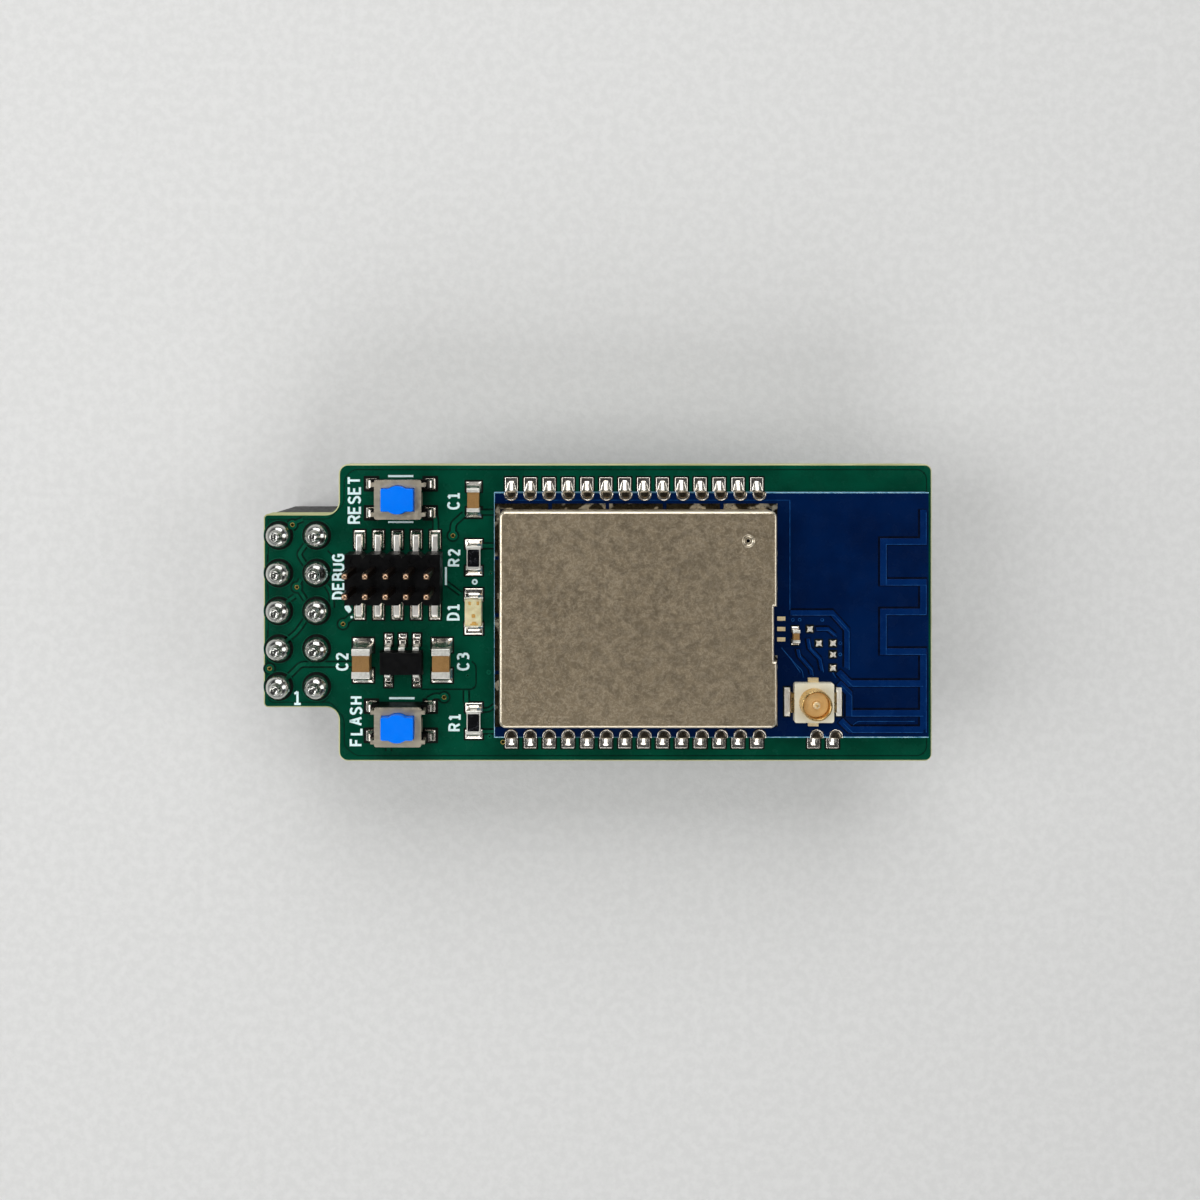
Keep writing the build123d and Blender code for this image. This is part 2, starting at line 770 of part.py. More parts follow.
def chip_core(seat, size):
    """The body of a chip part, inside its plated ends. Sizes are length, width, height."""
    length, width, height = size
    with BuildPart() as core:
        with BuildSketch(seat.offset(pad_height + plating)):
            Rectangle(width - 2 * plating, length - 2 * plating)
        extrude(amount=height - 2 * plating)
    return core


def end_caps(seat, size, band):
    """The two plated ends of a chip part lying along Y, rounded at their outer edges."""
    length, width, height = size
    with BuildPart() as caps:
        with BuildSketch(seat.offset(pad_height)):
            Rectangle(width, length)
        extrude(amount=height)
        fillet(caps.edges().filter_by(Axis.X), 2 * plating)
        with BuildSketch(seat.offset(pad_height)):
            Rectangle(width, length - 2 * band)
        extrude(amount=height, mode=Mode.SUBTRACT)
        add(chip_core(seat, size).part, mode=Mode.SUBTRACT)
    return caps


def end_joints(seat, size, band, pad_side, pad_reach):
    """Solder under both ends of a chip part, climbing each end in a hollow curve."""
    length, width, height = size
    end = length / 2
    pad_length = band + pad_reach
    with BuildPart() as joints:
        with BuildSketch(lengthwise(seat)):
            with BuildLine():
                Polyline(
                    *solder_fillet(
                        (end, pad_height), solder_toe * pad_reach, solder_climb * height
                    ),
                    close=True,
                )
            make_face()
        extrude(amount=width / 2, both=True)
        with BuildSketch(seat):
            with Locations((0, end + pad_reach - pad_length / 2)):
                Rectangle(width + 2 * pad_side, pad_length)
        extrude(amount=pad_height)
        mirror(about=Plane(seat.origin, z_dir=(0, 1, 0)))
    return joints


# Capacitors
large_cap_size = (large_cap_length, large_cap_width, large_cap_height)
small_cap_size = (small_cap_length, small_cap_width, small_cap_height)
c1_seat = carrier_seat(column_x, small_cap_y)
c2_seat = carrier_seat(regulator_x - large_cap_spacing, regulator_y)
c3_seat = carrier_seat(regulator_x + large_cap_spacing, regulator_y)
write(chip_core(c1_seat, small_cap_size), "c1_body")
write(chip_core(c2_seat, large_cap_size), "c2_body")
write(chip_core(c3_seat, large_cap_size), "c3_body")

# Resistors: a pale core with a dark coat between the plated ends
resistor_size = (resistor_length, resistor_width, resistor_height)
coat_length = resistor_length - 2 * resistor_band
coat_width = resistor_width - 2 * resistor_coat_margin
r1_seat = carrier_seat(column_x, flash_y)
r2_seat = carrier_seat(column_x, upper_resistor_y)
with BuildPart() as resistor_cores:
    add(chip_core(r1_seat, resistor_size).part)
    add(chip_core(r2_seat, resistor_size).part)
write(resistor_cores, "resistor_cores")
with BuildPart() as resistor_coats:
    for coat_seat in (r1_seat, r2_seat):
        with BuildSketch(coat_seat.offset(pad_height + resistor_height - plating)) as coat:
            Rectangle(coat_width, coat_length)
            fillet(coat.vertices(), resistor_coat_margin)
        extrude(amount=resistor_coat_height)
write(resistor_coats, "resistor_coats")

# Light: a pale base with plated ends, a clear cast block and the chip inside it
light_seat = carrier_seat(column_x, light_y)
light_size = (light_length, light_width, light_base_height)
light_level = light_seat.offset(pad_height + light_base_height - plating)
write(chip_core(light_seat, light_size), "light_base")
with BuildPart() as light_die:
    with BuildSketch(light_level):
        with Locations((0, light_die_shift)):
            Rectangle(light_die_side, light_die_side)
    extrude(amount=light_die_height)
write(light_die, "light_die")
with BuildPart() as light_lens:
    with BuildSketch(light_level):
        Rectangle(light_width - 2 * plating, light_lens_length)
    extrude(amount=light_lens_height, taper=light_lens_draft)
    add(light_die.part, mode=Mode.SUBTRACT)
write(light_lens, "light_lens")

# The plated ends and the solder of all the chip parts on the carrier board
with BuildPart() as chip_ends:
    add(end_caps(c1_seat, small_cap_size, small_cap_band).part)
    add(end_caps(c2_seat, large_cap_size, large_cap_band).part)
    add(end_caps(c3_seat, large_cap_size, large_cap_band).part)
    add(end_caps(r1_seat, resistor_size, resistor_band).part)
    add(end_caps(r2_seat, resistor_size, resistor_band).part)
    add(end_caps(light_seat, light_size, light_band).part)
write(chip_ends, "chip_ends")

small_pad = (small_pad_side, small_pad_reach)
large_pad = (large_cap_pad_side, large_cap_pad_reach)
with BuildPart() as chip_joints:
    add(end_joints(c1_seat, small_cap_size, small_cap_band, *small_pad).part)
    add(end_joints(c2_seat, large_cap_size, large_cap_band, *large_pad).part)
    add(end_joints(c3_seat, large_cap_size, large_cap_band, *large_pad).part)
    add(end_joints(r1_seat, resistor_size, resistor_band, *small_pad).part)
    add(end_joints(r2_seat, resistor_size, resistor_band, *small_pad).part)
    add(end_joints(light_seat, light_size, light_band, 0, light_pad_reach).part)
write(chip_joints, "chip_joints")

# Radio board, with half-round soldering notches along both long edges
module_edge = module_width / 2
coax_inset = can_left_margin + can_length + coax_can_gap
coax_y = coax_edge_inset - module_edge
rim_row_x = module_left + rim_row_inset
rim_extra_x = module_left + coax_inset + rim_extra_shift
with BuildPart() as module_board:
    with BuildSketch(Plane.XY.offset(module_base)):
        with Locations(((module_left + module_right) / 2, board_middle)):
            Rectangle(module_length, module_width)
        with Locations((rim_row_x, board_middle)):
            with GridLocations(rim_pitch, module_width, rim_count, 2):
                Circle(rim_notch_radius, mode=Mode.SUBTRACT)
        with Locations((rim_extra_x, board_middle - module_edge)):
            with GridLocations(rim_pitch, 0, rim_extra_count, 1):
                Circle(rim_notch_radius, mode=Mode.SUBTRACT)
    extrude(amount=module_thickness)
write(module_board, "module_board")

# One notch's copper land on top of the radio board, at the upper edge
with BuildPart() as rim_land:
    with BuildSketch(Plane.XY.offset(module_top)):
        with Locations((0, -rim_land_depth / 2)):
            Rectangle(rim_pad_width, rim_land_depth)
        Circle(rim_land_depth, mode=Mode.INTERSECT)
        Circle(rim_notch_radius, mode=Mode.SUBTRACT)
    extrude(amount=foil)

# One notch's solder: a pad under and beside the edge, and the filled notch
with BuildPart() as rim_joint:
    with BuildSketch(Plane.XY.offset(board_top)):
        with Locations((0, (rim_pad_reach - rim_pad_under) / 2)):
            Rectangle(rim_pad_width, rim_pad_reach + rim_pad_under)
    extrude(amount=pad_height)
    with BuildSketch(Plane.XY.offset(module_base)):
        Circle(rim_notch_radius)
        with Locations((0, rim_notch_radius)):
            Rectangle(2 * rim_notch_radius, 2 * rim_notch_radius, mode=Mode.SUBTRACT)
    extrude(amount=rim_solder_rise)
    with BuildSketch(Plane.YZ):
        with BuildLine():
            Polyline(*solder_fillet((0, module_base), rim_solder_toe, rim_solder_rise), close=True)
        make_face()
    extrude(amount=rim_notch_radius, both=True)


def along_rims(notch_piece):
    """The same piece at every notch, turned round for the lower edge."""
    with BuildPart() as row:
        for side, turn in ((1, 0), (-1, 180)):
            with Locations((rim_row_x, board_middle + side * module_edge)):
                with GridLocations(rim_pitch, 0, rim_count, 1):
                    add(notch_piece.part, rotation=(0, 0, turn))
        with Locations((rim_extra_x, board_middle - module_edge)):
            with GridLocations(rim_pitch, 0, rim_extra_count, 1):
                add(notch_piece.part, rotation=(0, 0, 180))
    return row


write(along_rims(rim_land), "module_lands")
write(along_rims(rim_joint), "module_joints")

# Shield can: folded sheet with a recess in the wall facing the antenna parts,
# windows along its lower edge, and a dimple with a small hole in its top
can_seat = module_seat(can_left_margin + can_length / 2, 0)
gate_y = coax_y + can_gate_shift
window_columns = int((can_length - 2 * can_corner_radius) / can_window_pitch)
window_rows = int((can_width - 2 * can_corner_radius) / can_window_pitch)
dimple_point = (can_length / 2 - can_dimple_inset, can_width / 2 - can_dimple_edge_inset)
with BuildPart() as shield_can:
    with BuildSketch(can_seat) as can_plan:
        Rectangle(can_length, can_width)
        fillet(can_plan.vertices(), can_corner_radius)
        with Locations((can_length / 2, gate_y)):
            Rectangle(2 * can_gate_depth, can_gate_length, mode=Mode.SUBTRACT)
    extrude(amount=can_height)
    fillet(shield_can.faces().sort_by(Axis.Z)[-1].edges(), can_top_radius)
    with BuildSketch(can_seat):
        offset(can_plan.sketch_local, amount=-can_wall)
    extrude(amount=can_height - can_wall, mode=Mode.SUBTRACT)
    with BuildSketch(can_seat):
        with GridLocations(can_window_pitch, can_width, window_columns, 2):
            Rectangle(can_window_width, 3 * can_wall)
        with GridLocations(can_length, can_window_pitch, 2, window_rows):
            Rectangle(3 * can_wall, can_window_width)
    extrude(amount=can_window_height, mode=Mode.SUBTRACT)
    with BuildSketch(can_seat.offset(can_height)):
        with Locations(dimple_point):
            Circle(can_dimple_radius)
    extrude(amount=-can_dimple_depth, mode=Mode.SUBTRACT)
    with BuildSketch(can_seat.offset(can_height)):
        with Locations(dimple_point):
            Circle(can_dimple_hole_radius)
    extrude(amount=-can_wall, mode=Mode.SUBTRACT)
write(shield_can, "shield_can")

# Solder round the can, broken by small gaps and by the recess
with BuildPart() as can_seam:
    with BuildSketch(can_seat):
        Rectangle(can_length + 2 * can_seam_width, can_width + 2 * can_seam_width)
        Rectangle(can_length, can_width, mode=Mode.SUBTRACT)
        with GridLocations(2 * can_window_pitch, 0, window_columns // 2, 1):
            Rectangle(can_seam_gap, 2 * can_width, mode=Mode.SUBTRACT)
        with GridLocations(0, 2 * can_window_pitch, 1, window_rows // 2):
            Rectangle(2 * can_length, can_seam_gap, mode=Mode.SUBTRACT)
        with Locations((can_length / 2, gate_y)):
            Rectangle(2 * can_seam_width, can_gate_length, mode=Mode.SUBTRACT)
    extrude(amount=can_seam_height)
write(can_seam, "can_seam")

# Chips under the can
chip_centre = can_seat.origin + Vector(radio_chip_shift_x, radio_chip_shift_y, 0)
chip_seat = Plane(chip_centre)
chip_side = radio_chip_side / 2
with BuildPart() as radio_chip:
    with BuildSketch(chip_seat):
        Rectangle(radio_chip_side, radio_chip_side)
    extrude(amount=radio_chip_height)
write(radio_chip, "radio_chip")
with BuildPart() as crystals:
    with BuildSketch(chip_seat):
        with Locations((chip_side + crystal_gap + crystal_length / 2, 0)):
            Rectangle(crystal_length, crystal_width)
        with Locations((0, -chip_side - crystal_gap - slow_crystal_width / 2)):
            Rectangle(slow_crystal_length, slow_crystal_width)
    extrude(amount=crystal_height)
write(crystals, "crystals")
with BuildPart() as inner_chips:
    with BuildSketch(chip_seat):
        with Locations((0, chip_side + inner_chip_gap + inner_chip_width / 2)):
            with GridLocations(inner_chip_pitch, 0, inner_chip_count, 1):
                Rectangle(inner_chip_length, inner_chip_width)
    extrude(amount=inner_chip_height)
write(inner_chips, "inner_chips")

# Coaxial port: moulded square base, gold ring on two side wings, centre pin
coax_seat = module_seat(coax_inset, coax_y)
coax_bore = coax_ring_radius - coax_ring_wall
wing_end = coax_block / 2 + coax_wing_reach
with BuildPart() as coax_pin:
    with BuildSketch(coax_seat):
        Rectangle(coax_signal_width, coax_block + 2 * coax_signal_reach)
    extrude(amount=coax_sheet)
    with BuildSketch(coax_seat):
        Circle(coax_pin_radius)
    extrude(amount=coax_pin_height)
    chamfer(coax_pin.faces().sort_by(Axis.Z)[-1].edges(), coax_pin_chamfer)
    with BuildSketch(coax_seat.offset(coax_pin_height)):
        Circle(coax_pin_hole_radius)
    extrude(amount=-coax_pin_hole_depth, mode=Mode.SUBTRACT)
write(coax_pin, "coax_pin")
with BuildPart() as coax_shell:
    with BuildSketch(coax_seat.offset(coax_wing_level)):
        Circle(coax_ring_radius)
        Circle(coax_bore, mode=Mode.SUBTRACT)
    extrude(amount=coax_ring_height - coax_wing_level)
    chamfer(coax_shell.edges().group_by(Axis.Z)[-1], coax_ring_chamfer)
    with BuildSketch(coax_seat.offset(coax_wing_level)):
        Rectangle(2 * wing_end, coax_wing_width)
        Circle(coax_bore, mode=Mode.SUBTRACT)
    extrude(amount=coax_sheet)
    with BuildSketch(coax_seat):
        with GridLocations(2 * wing_end - coax_sheet, 0, 2, 1):
            Rectangle(coax_sheet, coax_wing_width)
    extrude(amount=coax_wing_level)
write(coax_shell, "coax_shell")
with BuildPart() as coax_insulator:
    with BuildSketch(coax_seat) as block:
        Rectangle(coax_block, coax_block)
        fillet(block.vertices(), coax_block_radius)
    extrude(amount=coax_block_height)
    with BuildSketch(coax_seat.offset(coax_block_height)):
        Circle(coax_bore)
    extrude(amount=coax_floor_rise)
    add(coax_shell.part, mode=Mode.SUBTRACT)
    add(coax_pin.part, mode=Mode.SUBTRACT)
write(coax_insulator, "coax_insulator")

# Antenna matching parts: a chip capacitor, bare solder dots and gold strips
filter_cap_size = (filter_cap_length, filter_cap_width, filter_cap_height)
cap_x, cap_y = filter_cap_point
filter_cap_seat = module_seat(coax_inset + cap_x, coax_y + cap_y)
dot_hollow = filter_dot_side / 2
write(chip_core(filter_cap_seat, filter_cap_size), "filter_cap_body")
write(end_caps(filter_cap_seat, filter_cap_size, filter_cap_band), "filter_cap_ends")
with BuildPart() as filter_pads:
    add(
        end_joints(
            filter_cap_seat, filter_cap_size, filter_cap_band, 0, filter_cap_pad_reach
        ).part
    )
    with BuildSketch(coax_seat):
        with Locations(filter_dots):
            Rectangle(filter_dot_side, filter_dot_side)
            with PolarLocations(filter_dot_waist + dot_hollow, 4):
                Circle(dot_hollow, mode=Mode.SUBTRACT)
    extrude(amount=pad_height)
    with BuildSketch(coax_seat):
        with GridLocations(2 * wing_end + coax_foot_length, 0, 2, 1):
            Rectangle(coax_foot_length, coax_foot_width)
    extrude(amount=pad_height)
write(filter_pads, "filter_pads")

strip_inset = can_left_margin + can_length + filter_strip_gap
with BuildPart() as filter_strips:
    with BuildSketch(module_seat(strip_inset + filter_strip_length / 2, gate_y)):
        with GridLocations(0, filter_strip_pitch, 1, filter_strip_count):
            Rectangle(filter_strip_length, filter_strip_width)
    extrude(amount=foil)
write(filter_strips, "filter_strips")

# Printed antenna: a meander with three legs down to the matching parts
outer_x = module_right - antenna_outer
inner_x = module_right - antenna_inner
meander = [(outer_x, module_edge - antenna_start)]
for turn, inset in enumerate(antenna_turns):
    ends = (outer_x, inner_x) if turn % 2 == 0 else (inner_x, outer_x)
    meander += [(x, module_edge - inset) for x in ends]
meander += [(outer_x, antenna_legs[-1][0][1] - module_edge)]
legs = [[(module_right - x, y - module_edge) for x, y in leg] for leg in antenna_legs]
with BuildPart() as antenna_trace:
    with BuildSketch(Plane((0, board_middle, module_top))):
        with BuildLine():
            Polyline(*meander)
        trace(line_width=antenna_line)
        for leg in legs:
            with BuildLine():
                Polyline((outer_x, leg[0][1]), *leg)
            trace(line_width=antenna_line)
    extrude(amount=foil)
write(antenna_trace, "antenna_trace")

# Guard line and the lines between the matching parts
with BuildPart() as feed_traces:
    with BuildSketch(coax_seat):
        with BuildLine():
            Polyline(*guard_points)
        trace(line_width=guard_width)
        for line in feed_lines:
            with BuildLine():
                Polyline(*line)
            trace(line_width=feed_width)
    extrude(amount=foil)
write(feed_traces, "feed_traces")
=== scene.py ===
import random
from itertools import cycle
from math import atan, ceil, cos, exp, hypot, pi, radians, sin, sqrt

import bmesh
import bpy
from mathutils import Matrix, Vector


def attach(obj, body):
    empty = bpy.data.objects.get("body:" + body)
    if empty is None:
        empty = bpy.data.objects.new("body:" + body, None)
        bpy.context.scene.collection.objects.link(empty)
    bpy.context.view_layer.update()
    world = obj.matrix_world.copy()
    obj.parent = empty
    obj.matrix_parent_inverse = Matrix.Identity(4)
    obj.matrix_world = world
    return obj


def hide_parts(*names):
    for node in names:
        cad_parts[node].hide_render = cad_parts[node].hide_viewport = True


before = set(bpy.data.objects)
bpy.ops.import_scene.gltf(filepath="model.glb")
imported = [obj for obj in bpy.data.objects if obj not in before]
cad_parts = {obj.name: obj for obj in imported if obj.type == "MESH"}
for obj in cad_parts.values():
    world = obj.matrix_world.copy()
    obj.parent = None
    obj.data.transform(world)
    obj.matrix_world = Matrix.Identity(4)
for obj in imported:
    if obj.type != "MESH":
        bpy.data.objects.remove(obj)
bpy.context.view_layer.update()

# A plug-in radio board: looks, solder, lettering and fine copper, then floor, lamps and camera
MM = 0.001
random.seed(7)

# Levels and places of the CAD model, in millimetres
board_bottom, board_top = 8.5, 10.1
module_top = 10.95
board_foot = board_top - 0.002  # flat pieces reach a hair into the face that they lie on
module_foot = module_top - 0.002
can_top = 12.75
lens_top = 10.86
dimple_x, dimple_y = 29.81, 4.97
coax_x, coax_y = 34.43, -5.89
light_x, light_y = 11.84, -0.04
header_y, regulator_y = 2.42, -3.33
switch_x = 6.93
module_low, module_high, module_left, module_right = -8.28, 8.02, 13.24, 42.13
notches = [22.62 + 1.27 * (k - 6.5) for k in range(14)]
extra_notches = [35.33 - 0.635, 35.33 + 0.635]
bead_points = [(-1.27 + 2.54 * i, -5.08 + 2.54 * j) for i in range(2) for j in range(5)]
light_width, light_length = 1.25, 2.0
chips = [  # place, width, length and the height that solder climbs
    (11.84, 7.49, 0.85, 1.6, 0.5),
    (11.84, 3.6, 0.98, 1.6, 0.28),
    (light_x, light_y, light_width, light_length, 0.24),
    (11.84, -7.4, 0.98, 1.6, 0.28),
    (4.41, -3.33, 1.2, 2.0, 0.72),
    (9.71, -3.33, 1.2, 2.0, 0.72),
]


# Materials

class Look:
    """One material, built node by node on a Principled shader."""

    def __init__(self, name, colour, rough=0.5, metal=0.0, **extra):
        self.mat = bpy.data.materials.new(name)
        self.mat.use_nodes = True
        self.tree = self.mat.node_tree
        self.shader = self.tree.nodes["Principled BSDF"]
        self.coord = self.tree.nodes.new("ShaderNodeTexCoord")
        self.put("Base Color", colour)
        self.put("Roughness", rough)
        self.put("Metallic", metal)
        for socket, value in extra.items():
            self.put(socket.replace("_", " "), value)

    def feed(self, socket, value):
        if isinstance(value, bpy.types.NodeSocket):
            self.tree.links.new(value, socket)
        elif isinstance(value, tuple) and len(value) == 3 and socket.type == "RGBA":
            socket.default_value = (*value, 1.0)
        else:
            socket.default_value = value

    def put(self, socket, value):
        self.feed(self.shader.inputs[socket], value)

    def node(self, kind, values, **props):
        made = self.tree.nodes.new(kind)
        for prop, value in props.items():
            setattr(made, prop, value)
        for key, value in values.items():
            self.feed(made.inputs[key], value)
        return made

    def place(self, stretch=(1, 1, 1)):
        values = {"Vector": self.coord.outputs["Object"], "Scale": stretch}
        return self.node("ShaderNodeMapping", values).outputs["Vector"]

    def noise(self, size, detail=3.0, rough=0.55, distort=0.0, stretch=(1, 1, 1)):
        """Noise whose features are about size millimetres across, from 0 to 1."""
        values = {
            "Vector": self.place(stretch),
            "Scale": 1 / (size * MM),
            "Detail": detail,
            "Roughness": rough,
            "Distortion": distort,
        }
        return self.node("ShaderNodeTexNoise", values).outputs["Fac"]

    def cells(self, size):
        values = {"Vector": self.place(), "Scale": 1 / (size * MM)}
        return self.node("ShaderNodeTexVoronoi", values).outputs["Distance"]

    def remap(self, value, low, high, first=0.0, last=1.0):
        values = {"Value": value, "From Min": low, "From Max": high, "To Min": first, "To Max": last}
        return self.node("ShaderNodeMapRange", values, interpolation_type="SMOOTHSTEP").outputs["Result"]

    def maths(self, operation, first, second=0.0):
        return self.node("ShaderNodeMath", {0: first, 1: second}, operation=operation).outputs[0]

    def mix(self, share, first, second):
        made = self.node("ShaderNodeMix", {}, data_type="RGBA")
        self.feed(made.inputs[0], share)
        self.feed(made.inputs[6], first)
        self.feed(made.inputs[7], second)
        return made.outputs[2]

    def mix_value(self, share, first, second):
        return self.node("ShaderNodeMix", {0: share, 2: first, 3: second}).outputs[0]

    def axis(self, output, letter):
        split = self.node("ShaderNodeSeparateXYZ", {"Vector": self.coord.outputs[output]})
        return split.outputs[letter]

    def ridges(self, size, distort=1.2, width=0.1, stretch=(1, 1, 1)):
        """Short worm-like ridges: 1 on a ridge, 0 away from it."""
        wave = self.noise(size, 1.0, 0.4, distort, stretch)
        away = self.maths("ABSOLUTE", self.maths("SUBTRACT", wave, 0.5))
        return self.remap(away, 0.0, width, 1.0, 0.0)

    def bump(self, height, depth, strength=1.0):
        """Adds relief of depth millimetres under what the shader already has."""
        values = {"Height": height, "Distance": depth * MM, "Strength": strength}
        made = self.node("ShaderNodeBump", values)
        normal = self.shader.inputs["Normal"]
        if normal.links:
            self.tree.links.new(normal.links[0].from_socket, made.inputs["Normal"])
        self.tree.links.new(made.outputs["Normal"], normal)
        return self


def masked_board(name, dark, light, laminate, weave, rough=0.2):
    """Glossy mask on the flat faces, bare glass laminate on the edges."""
    look = Look(name, dark, Specular_IOR_Level=0.12)
    cloud = look.remap(look.noise(3.2, 4.0, 0.6), 0.3, 0.72)
    grain = look.remap(look.noise(0.09, 2.0), 0.3, 0.7)
    mask = look.mix(look.maths("MULTIPLY", grain, 0.16), look.mix(cloud, dark, light), light)
    dust = look.remap(look.cells(0.9), 0.0, 0.04, 0.3, 0.0)
    mask = look.mix(dust, mask, tuple(min(1.0, c * 3 + 0.01) for c in light))
    plies = look.remap(look.noise(0.5, 2.0, 0.5, 0.4, (0.12, 0.12, 3.4)), 0.35, 0.65)
    edge = look.mix(plies, laminate, weave)
    flat = look.remap(look.maths("ABSOLUTE", look.axis("Normal", "Z")), 0.9, 0.97)
    look.put("Base Color", look.mix(flat, edge, mask))
    gloss = look.remap(look.noise(1.1, 3.0), 0.3, 0.7, rough, rough + 0.1)
    look.put("Roughness", look.mix_value(flat, 0.72, gloss))
    look.bump(look.noise(0.6, 2.0, 0.5), 0.006, 0.5)
    look.bump(look.noise(0.08, 2.0, 0.6), 0.002, 0.5)
    return look


def metal(name, colour, stain, rough, lumps=0.012, grain=0.004, size=0.5, spread=0.12):
    """Plated or soldered metal, with stains, soft lumps and a fine grain."""
    look = Look(name, colour, rough, 1.0)
    patch = look.remap(look.noise(size, 4.0, 0.62, 0.5), 0.34, 0.7)
    look.put("Base Color", look.mix(patch, colour, stain))
    look.put("Roughness", look.remap(look.noise(size * 0.6, 3.0), 0.3, 0.72, rough, rough + spread))
    look.bump(look.noise(size, 2.0, 0.5), lumps, 0.8)
    look.bump(look.noise(0.05, 2.0, 0.6), grain, 0.6)
    return look


def moulding(name, colour, light, rough, grain=0.006, size=0.07, scuffs=0.25):
    """Moulded plastic: fine spark texture, faint flow marks and pale scuffs."""
    look = Look(name, colour, rough, Specular_IOR_Level=0.13)
    flow = look.remap(look.noise(1.4, 3.0, 0.6), 0.35, 0.7, 0.0, 0.5)
    scuff = look.remap(look.ridges(0.7, 2.5, 0.02), 0.5, 1.0, 0.0, scuffs)
    worn = look.maths("MULTIPLY", scuff, look.remap(look.noise(1.6), 0.5, 0.7))
    look.put("Base Color", look.mix(look.maths("MAXIMUM", flow, worn), colour, light))
    look.put("Roughness", look.remap(look.noise(0.4, 3.0), 0.3, 0.7, rough - 0.06, rough + 0.08))
    look.bump(look.noise(size, 3.0, 0.65), grain, 0.7)
    return look


def mottled(name, dark, light, rough, size, depth=0.003, metallic=0.0):
    """A coat that wanders between two colours, with shallow relief of the same grain."""
    look = Look(name, dark, rough, metallic, Specular_IOR_Level=0.12)
    blotch = look.remap(look.noise(size, 3.0, 0.6), 0.33, 0.68)
    look.put("Base Color", look.mix(blotch, dark, light))
    look.put("Roughness", look.remap(look.noise(size * 0.5), 0.3, 0.7, rough, rough + 0.1))
    look.bump(blotch, depth, 0.6)
    return look


green = masked_board(
    "green_mask", (0.0004, 0.04, 0.021), (0.0008, 0.068, 0.036), (0.42, 0.43, 0.2), (0.62, 0.62, 0.36)
)
blue = masked_board(
    "blue_mask", (0.0001, 0.0064, 0.038), (0.0002, 0.0105, 0.058), (0.1, 0.22, 0.36), (0.24, 0.42, 0.56)
)
green_copper = mottled("green_mask_on_copper", (0.001, 0.052, 0.027), (0.002, 0.088, 0.046), 0.24, 1.5)
green_gap = mottled("green_mask_on_laminate", (0.0002, 0.009, 0.0055), (0.0005, 0.019, 0.011), 0.3, 0.3)
blue_copper = mottled("blue_mask_on_copper", (0.0002, 0.0135, 0.078), (0.0004, 0.019, 0.1), 0.2, 1.6, 0.001)
# Dark mask over laminate beside the copper, thickened on one side as painted shade
blue_gap_and_shade = mottled("blue_mask_on_laminate_and_shade", (0.0001, 0.0009, 0.006), (0.0002, 0.0022, 0.013), 0.3, 0.4)
# Pale lines along the copper's edges: painted highlight
blue_glint = mottled("blue_mask_painted_glint", (0.003, 0.035, 0.15), (0.01, 0.08, 0.26), 0.3, 0.5)
# Near-black laminate of the mask openings: painted shade
bare_and_shade_look = mottled("bare_laminate_and_shade", (0.0006, 0.002, 0.0014), (0.003, 0.0065, 0.0045), 0.5, 0.12, 0.004)
rim_and_highlight_look = mottled("routed_edge_and_highlight", (0.1, 0.3, 0.46), (0.36, 0.62, 0.78), 0.6, 0.5, 0.006)
rim_colour = rim_and_highlight_look.shader.inputs["Base Color"].links[0].from_socket
# The rim is darkened between the first and last notch, beside the can: painted shade
along = rim_and_highlight_look.axis("Object", "X")
first = rim_and_highlight_look.remap(along, (notches[0] - 0.4) * MM, (notches[0] - 0.2) * MM)
last = rim_and_highlight_look.remap(along, (notches[-1] + 0.2) * MM, (notches[-1] + 0.6) * MM, 1.0, 0.0)
between = rim_and_highlight_look.maths("MULTIPLY", first, last)
shade = rim_and_highlight_look.maths("MULTIPLY", between, 0.8)
rim_and_highlight_look.put("Base Color", rim_and_highlight_look.mix(shade, rim_colour, (0.005, 0.05, 0.09)))

ink = Look("silkscreen_ink", (0.76, 0.97, 1.0), 0.62)
speck = ink.remap(ink.noise(0.07, 3.0, 0.7), 0.32, 0.5)
ink.put("Base Color", ink.mix(speck, (0.6, 0.84, 0.87), (0.8, 1.0, 1.0)))
ink.bump(ink.noise(0.06, 2.0), 0.006, 0.8)

solder = metal("solder", (0.9, 0.86, 0.79), (0.76, 0.69, 0.6), 0.2, 0.004, 0.0004, 0.6, 0.08)
shaded = metal("shaded_solder", (0.3, 0.25, 0.18), (0.16, 0.13, 0.09), 0.2, 0.004, 0.0004, 0.4, 0.08)
frosted = metal("frosted_solder", (0.97, 0.94, 0.86), (0.9, 0.84, 0.72), 0.5, 0.004, 0.001, 0.3, 0.08)
# The can's seam: solder painted dark as the can's shade, with random pale patches
seam_solder_shaded = metal("seam_solder_painted_shade", (0.06, 0.05, 0.03), (0.03, 0.025, 0.015), 0.24, 0.008, 0.001, 0.3, 0.2)
fresh = seam_solder_shaded.remap(seam_solder_shaded.noise(1.1, 2.0, 0.4), 0.55, 0.6)
seam_solder_shaded.put("Base Color", seam_solder_shaded.mix(fresh, (0.05, 0.042, 0.026), (0.7, 0.64, 0.5)))
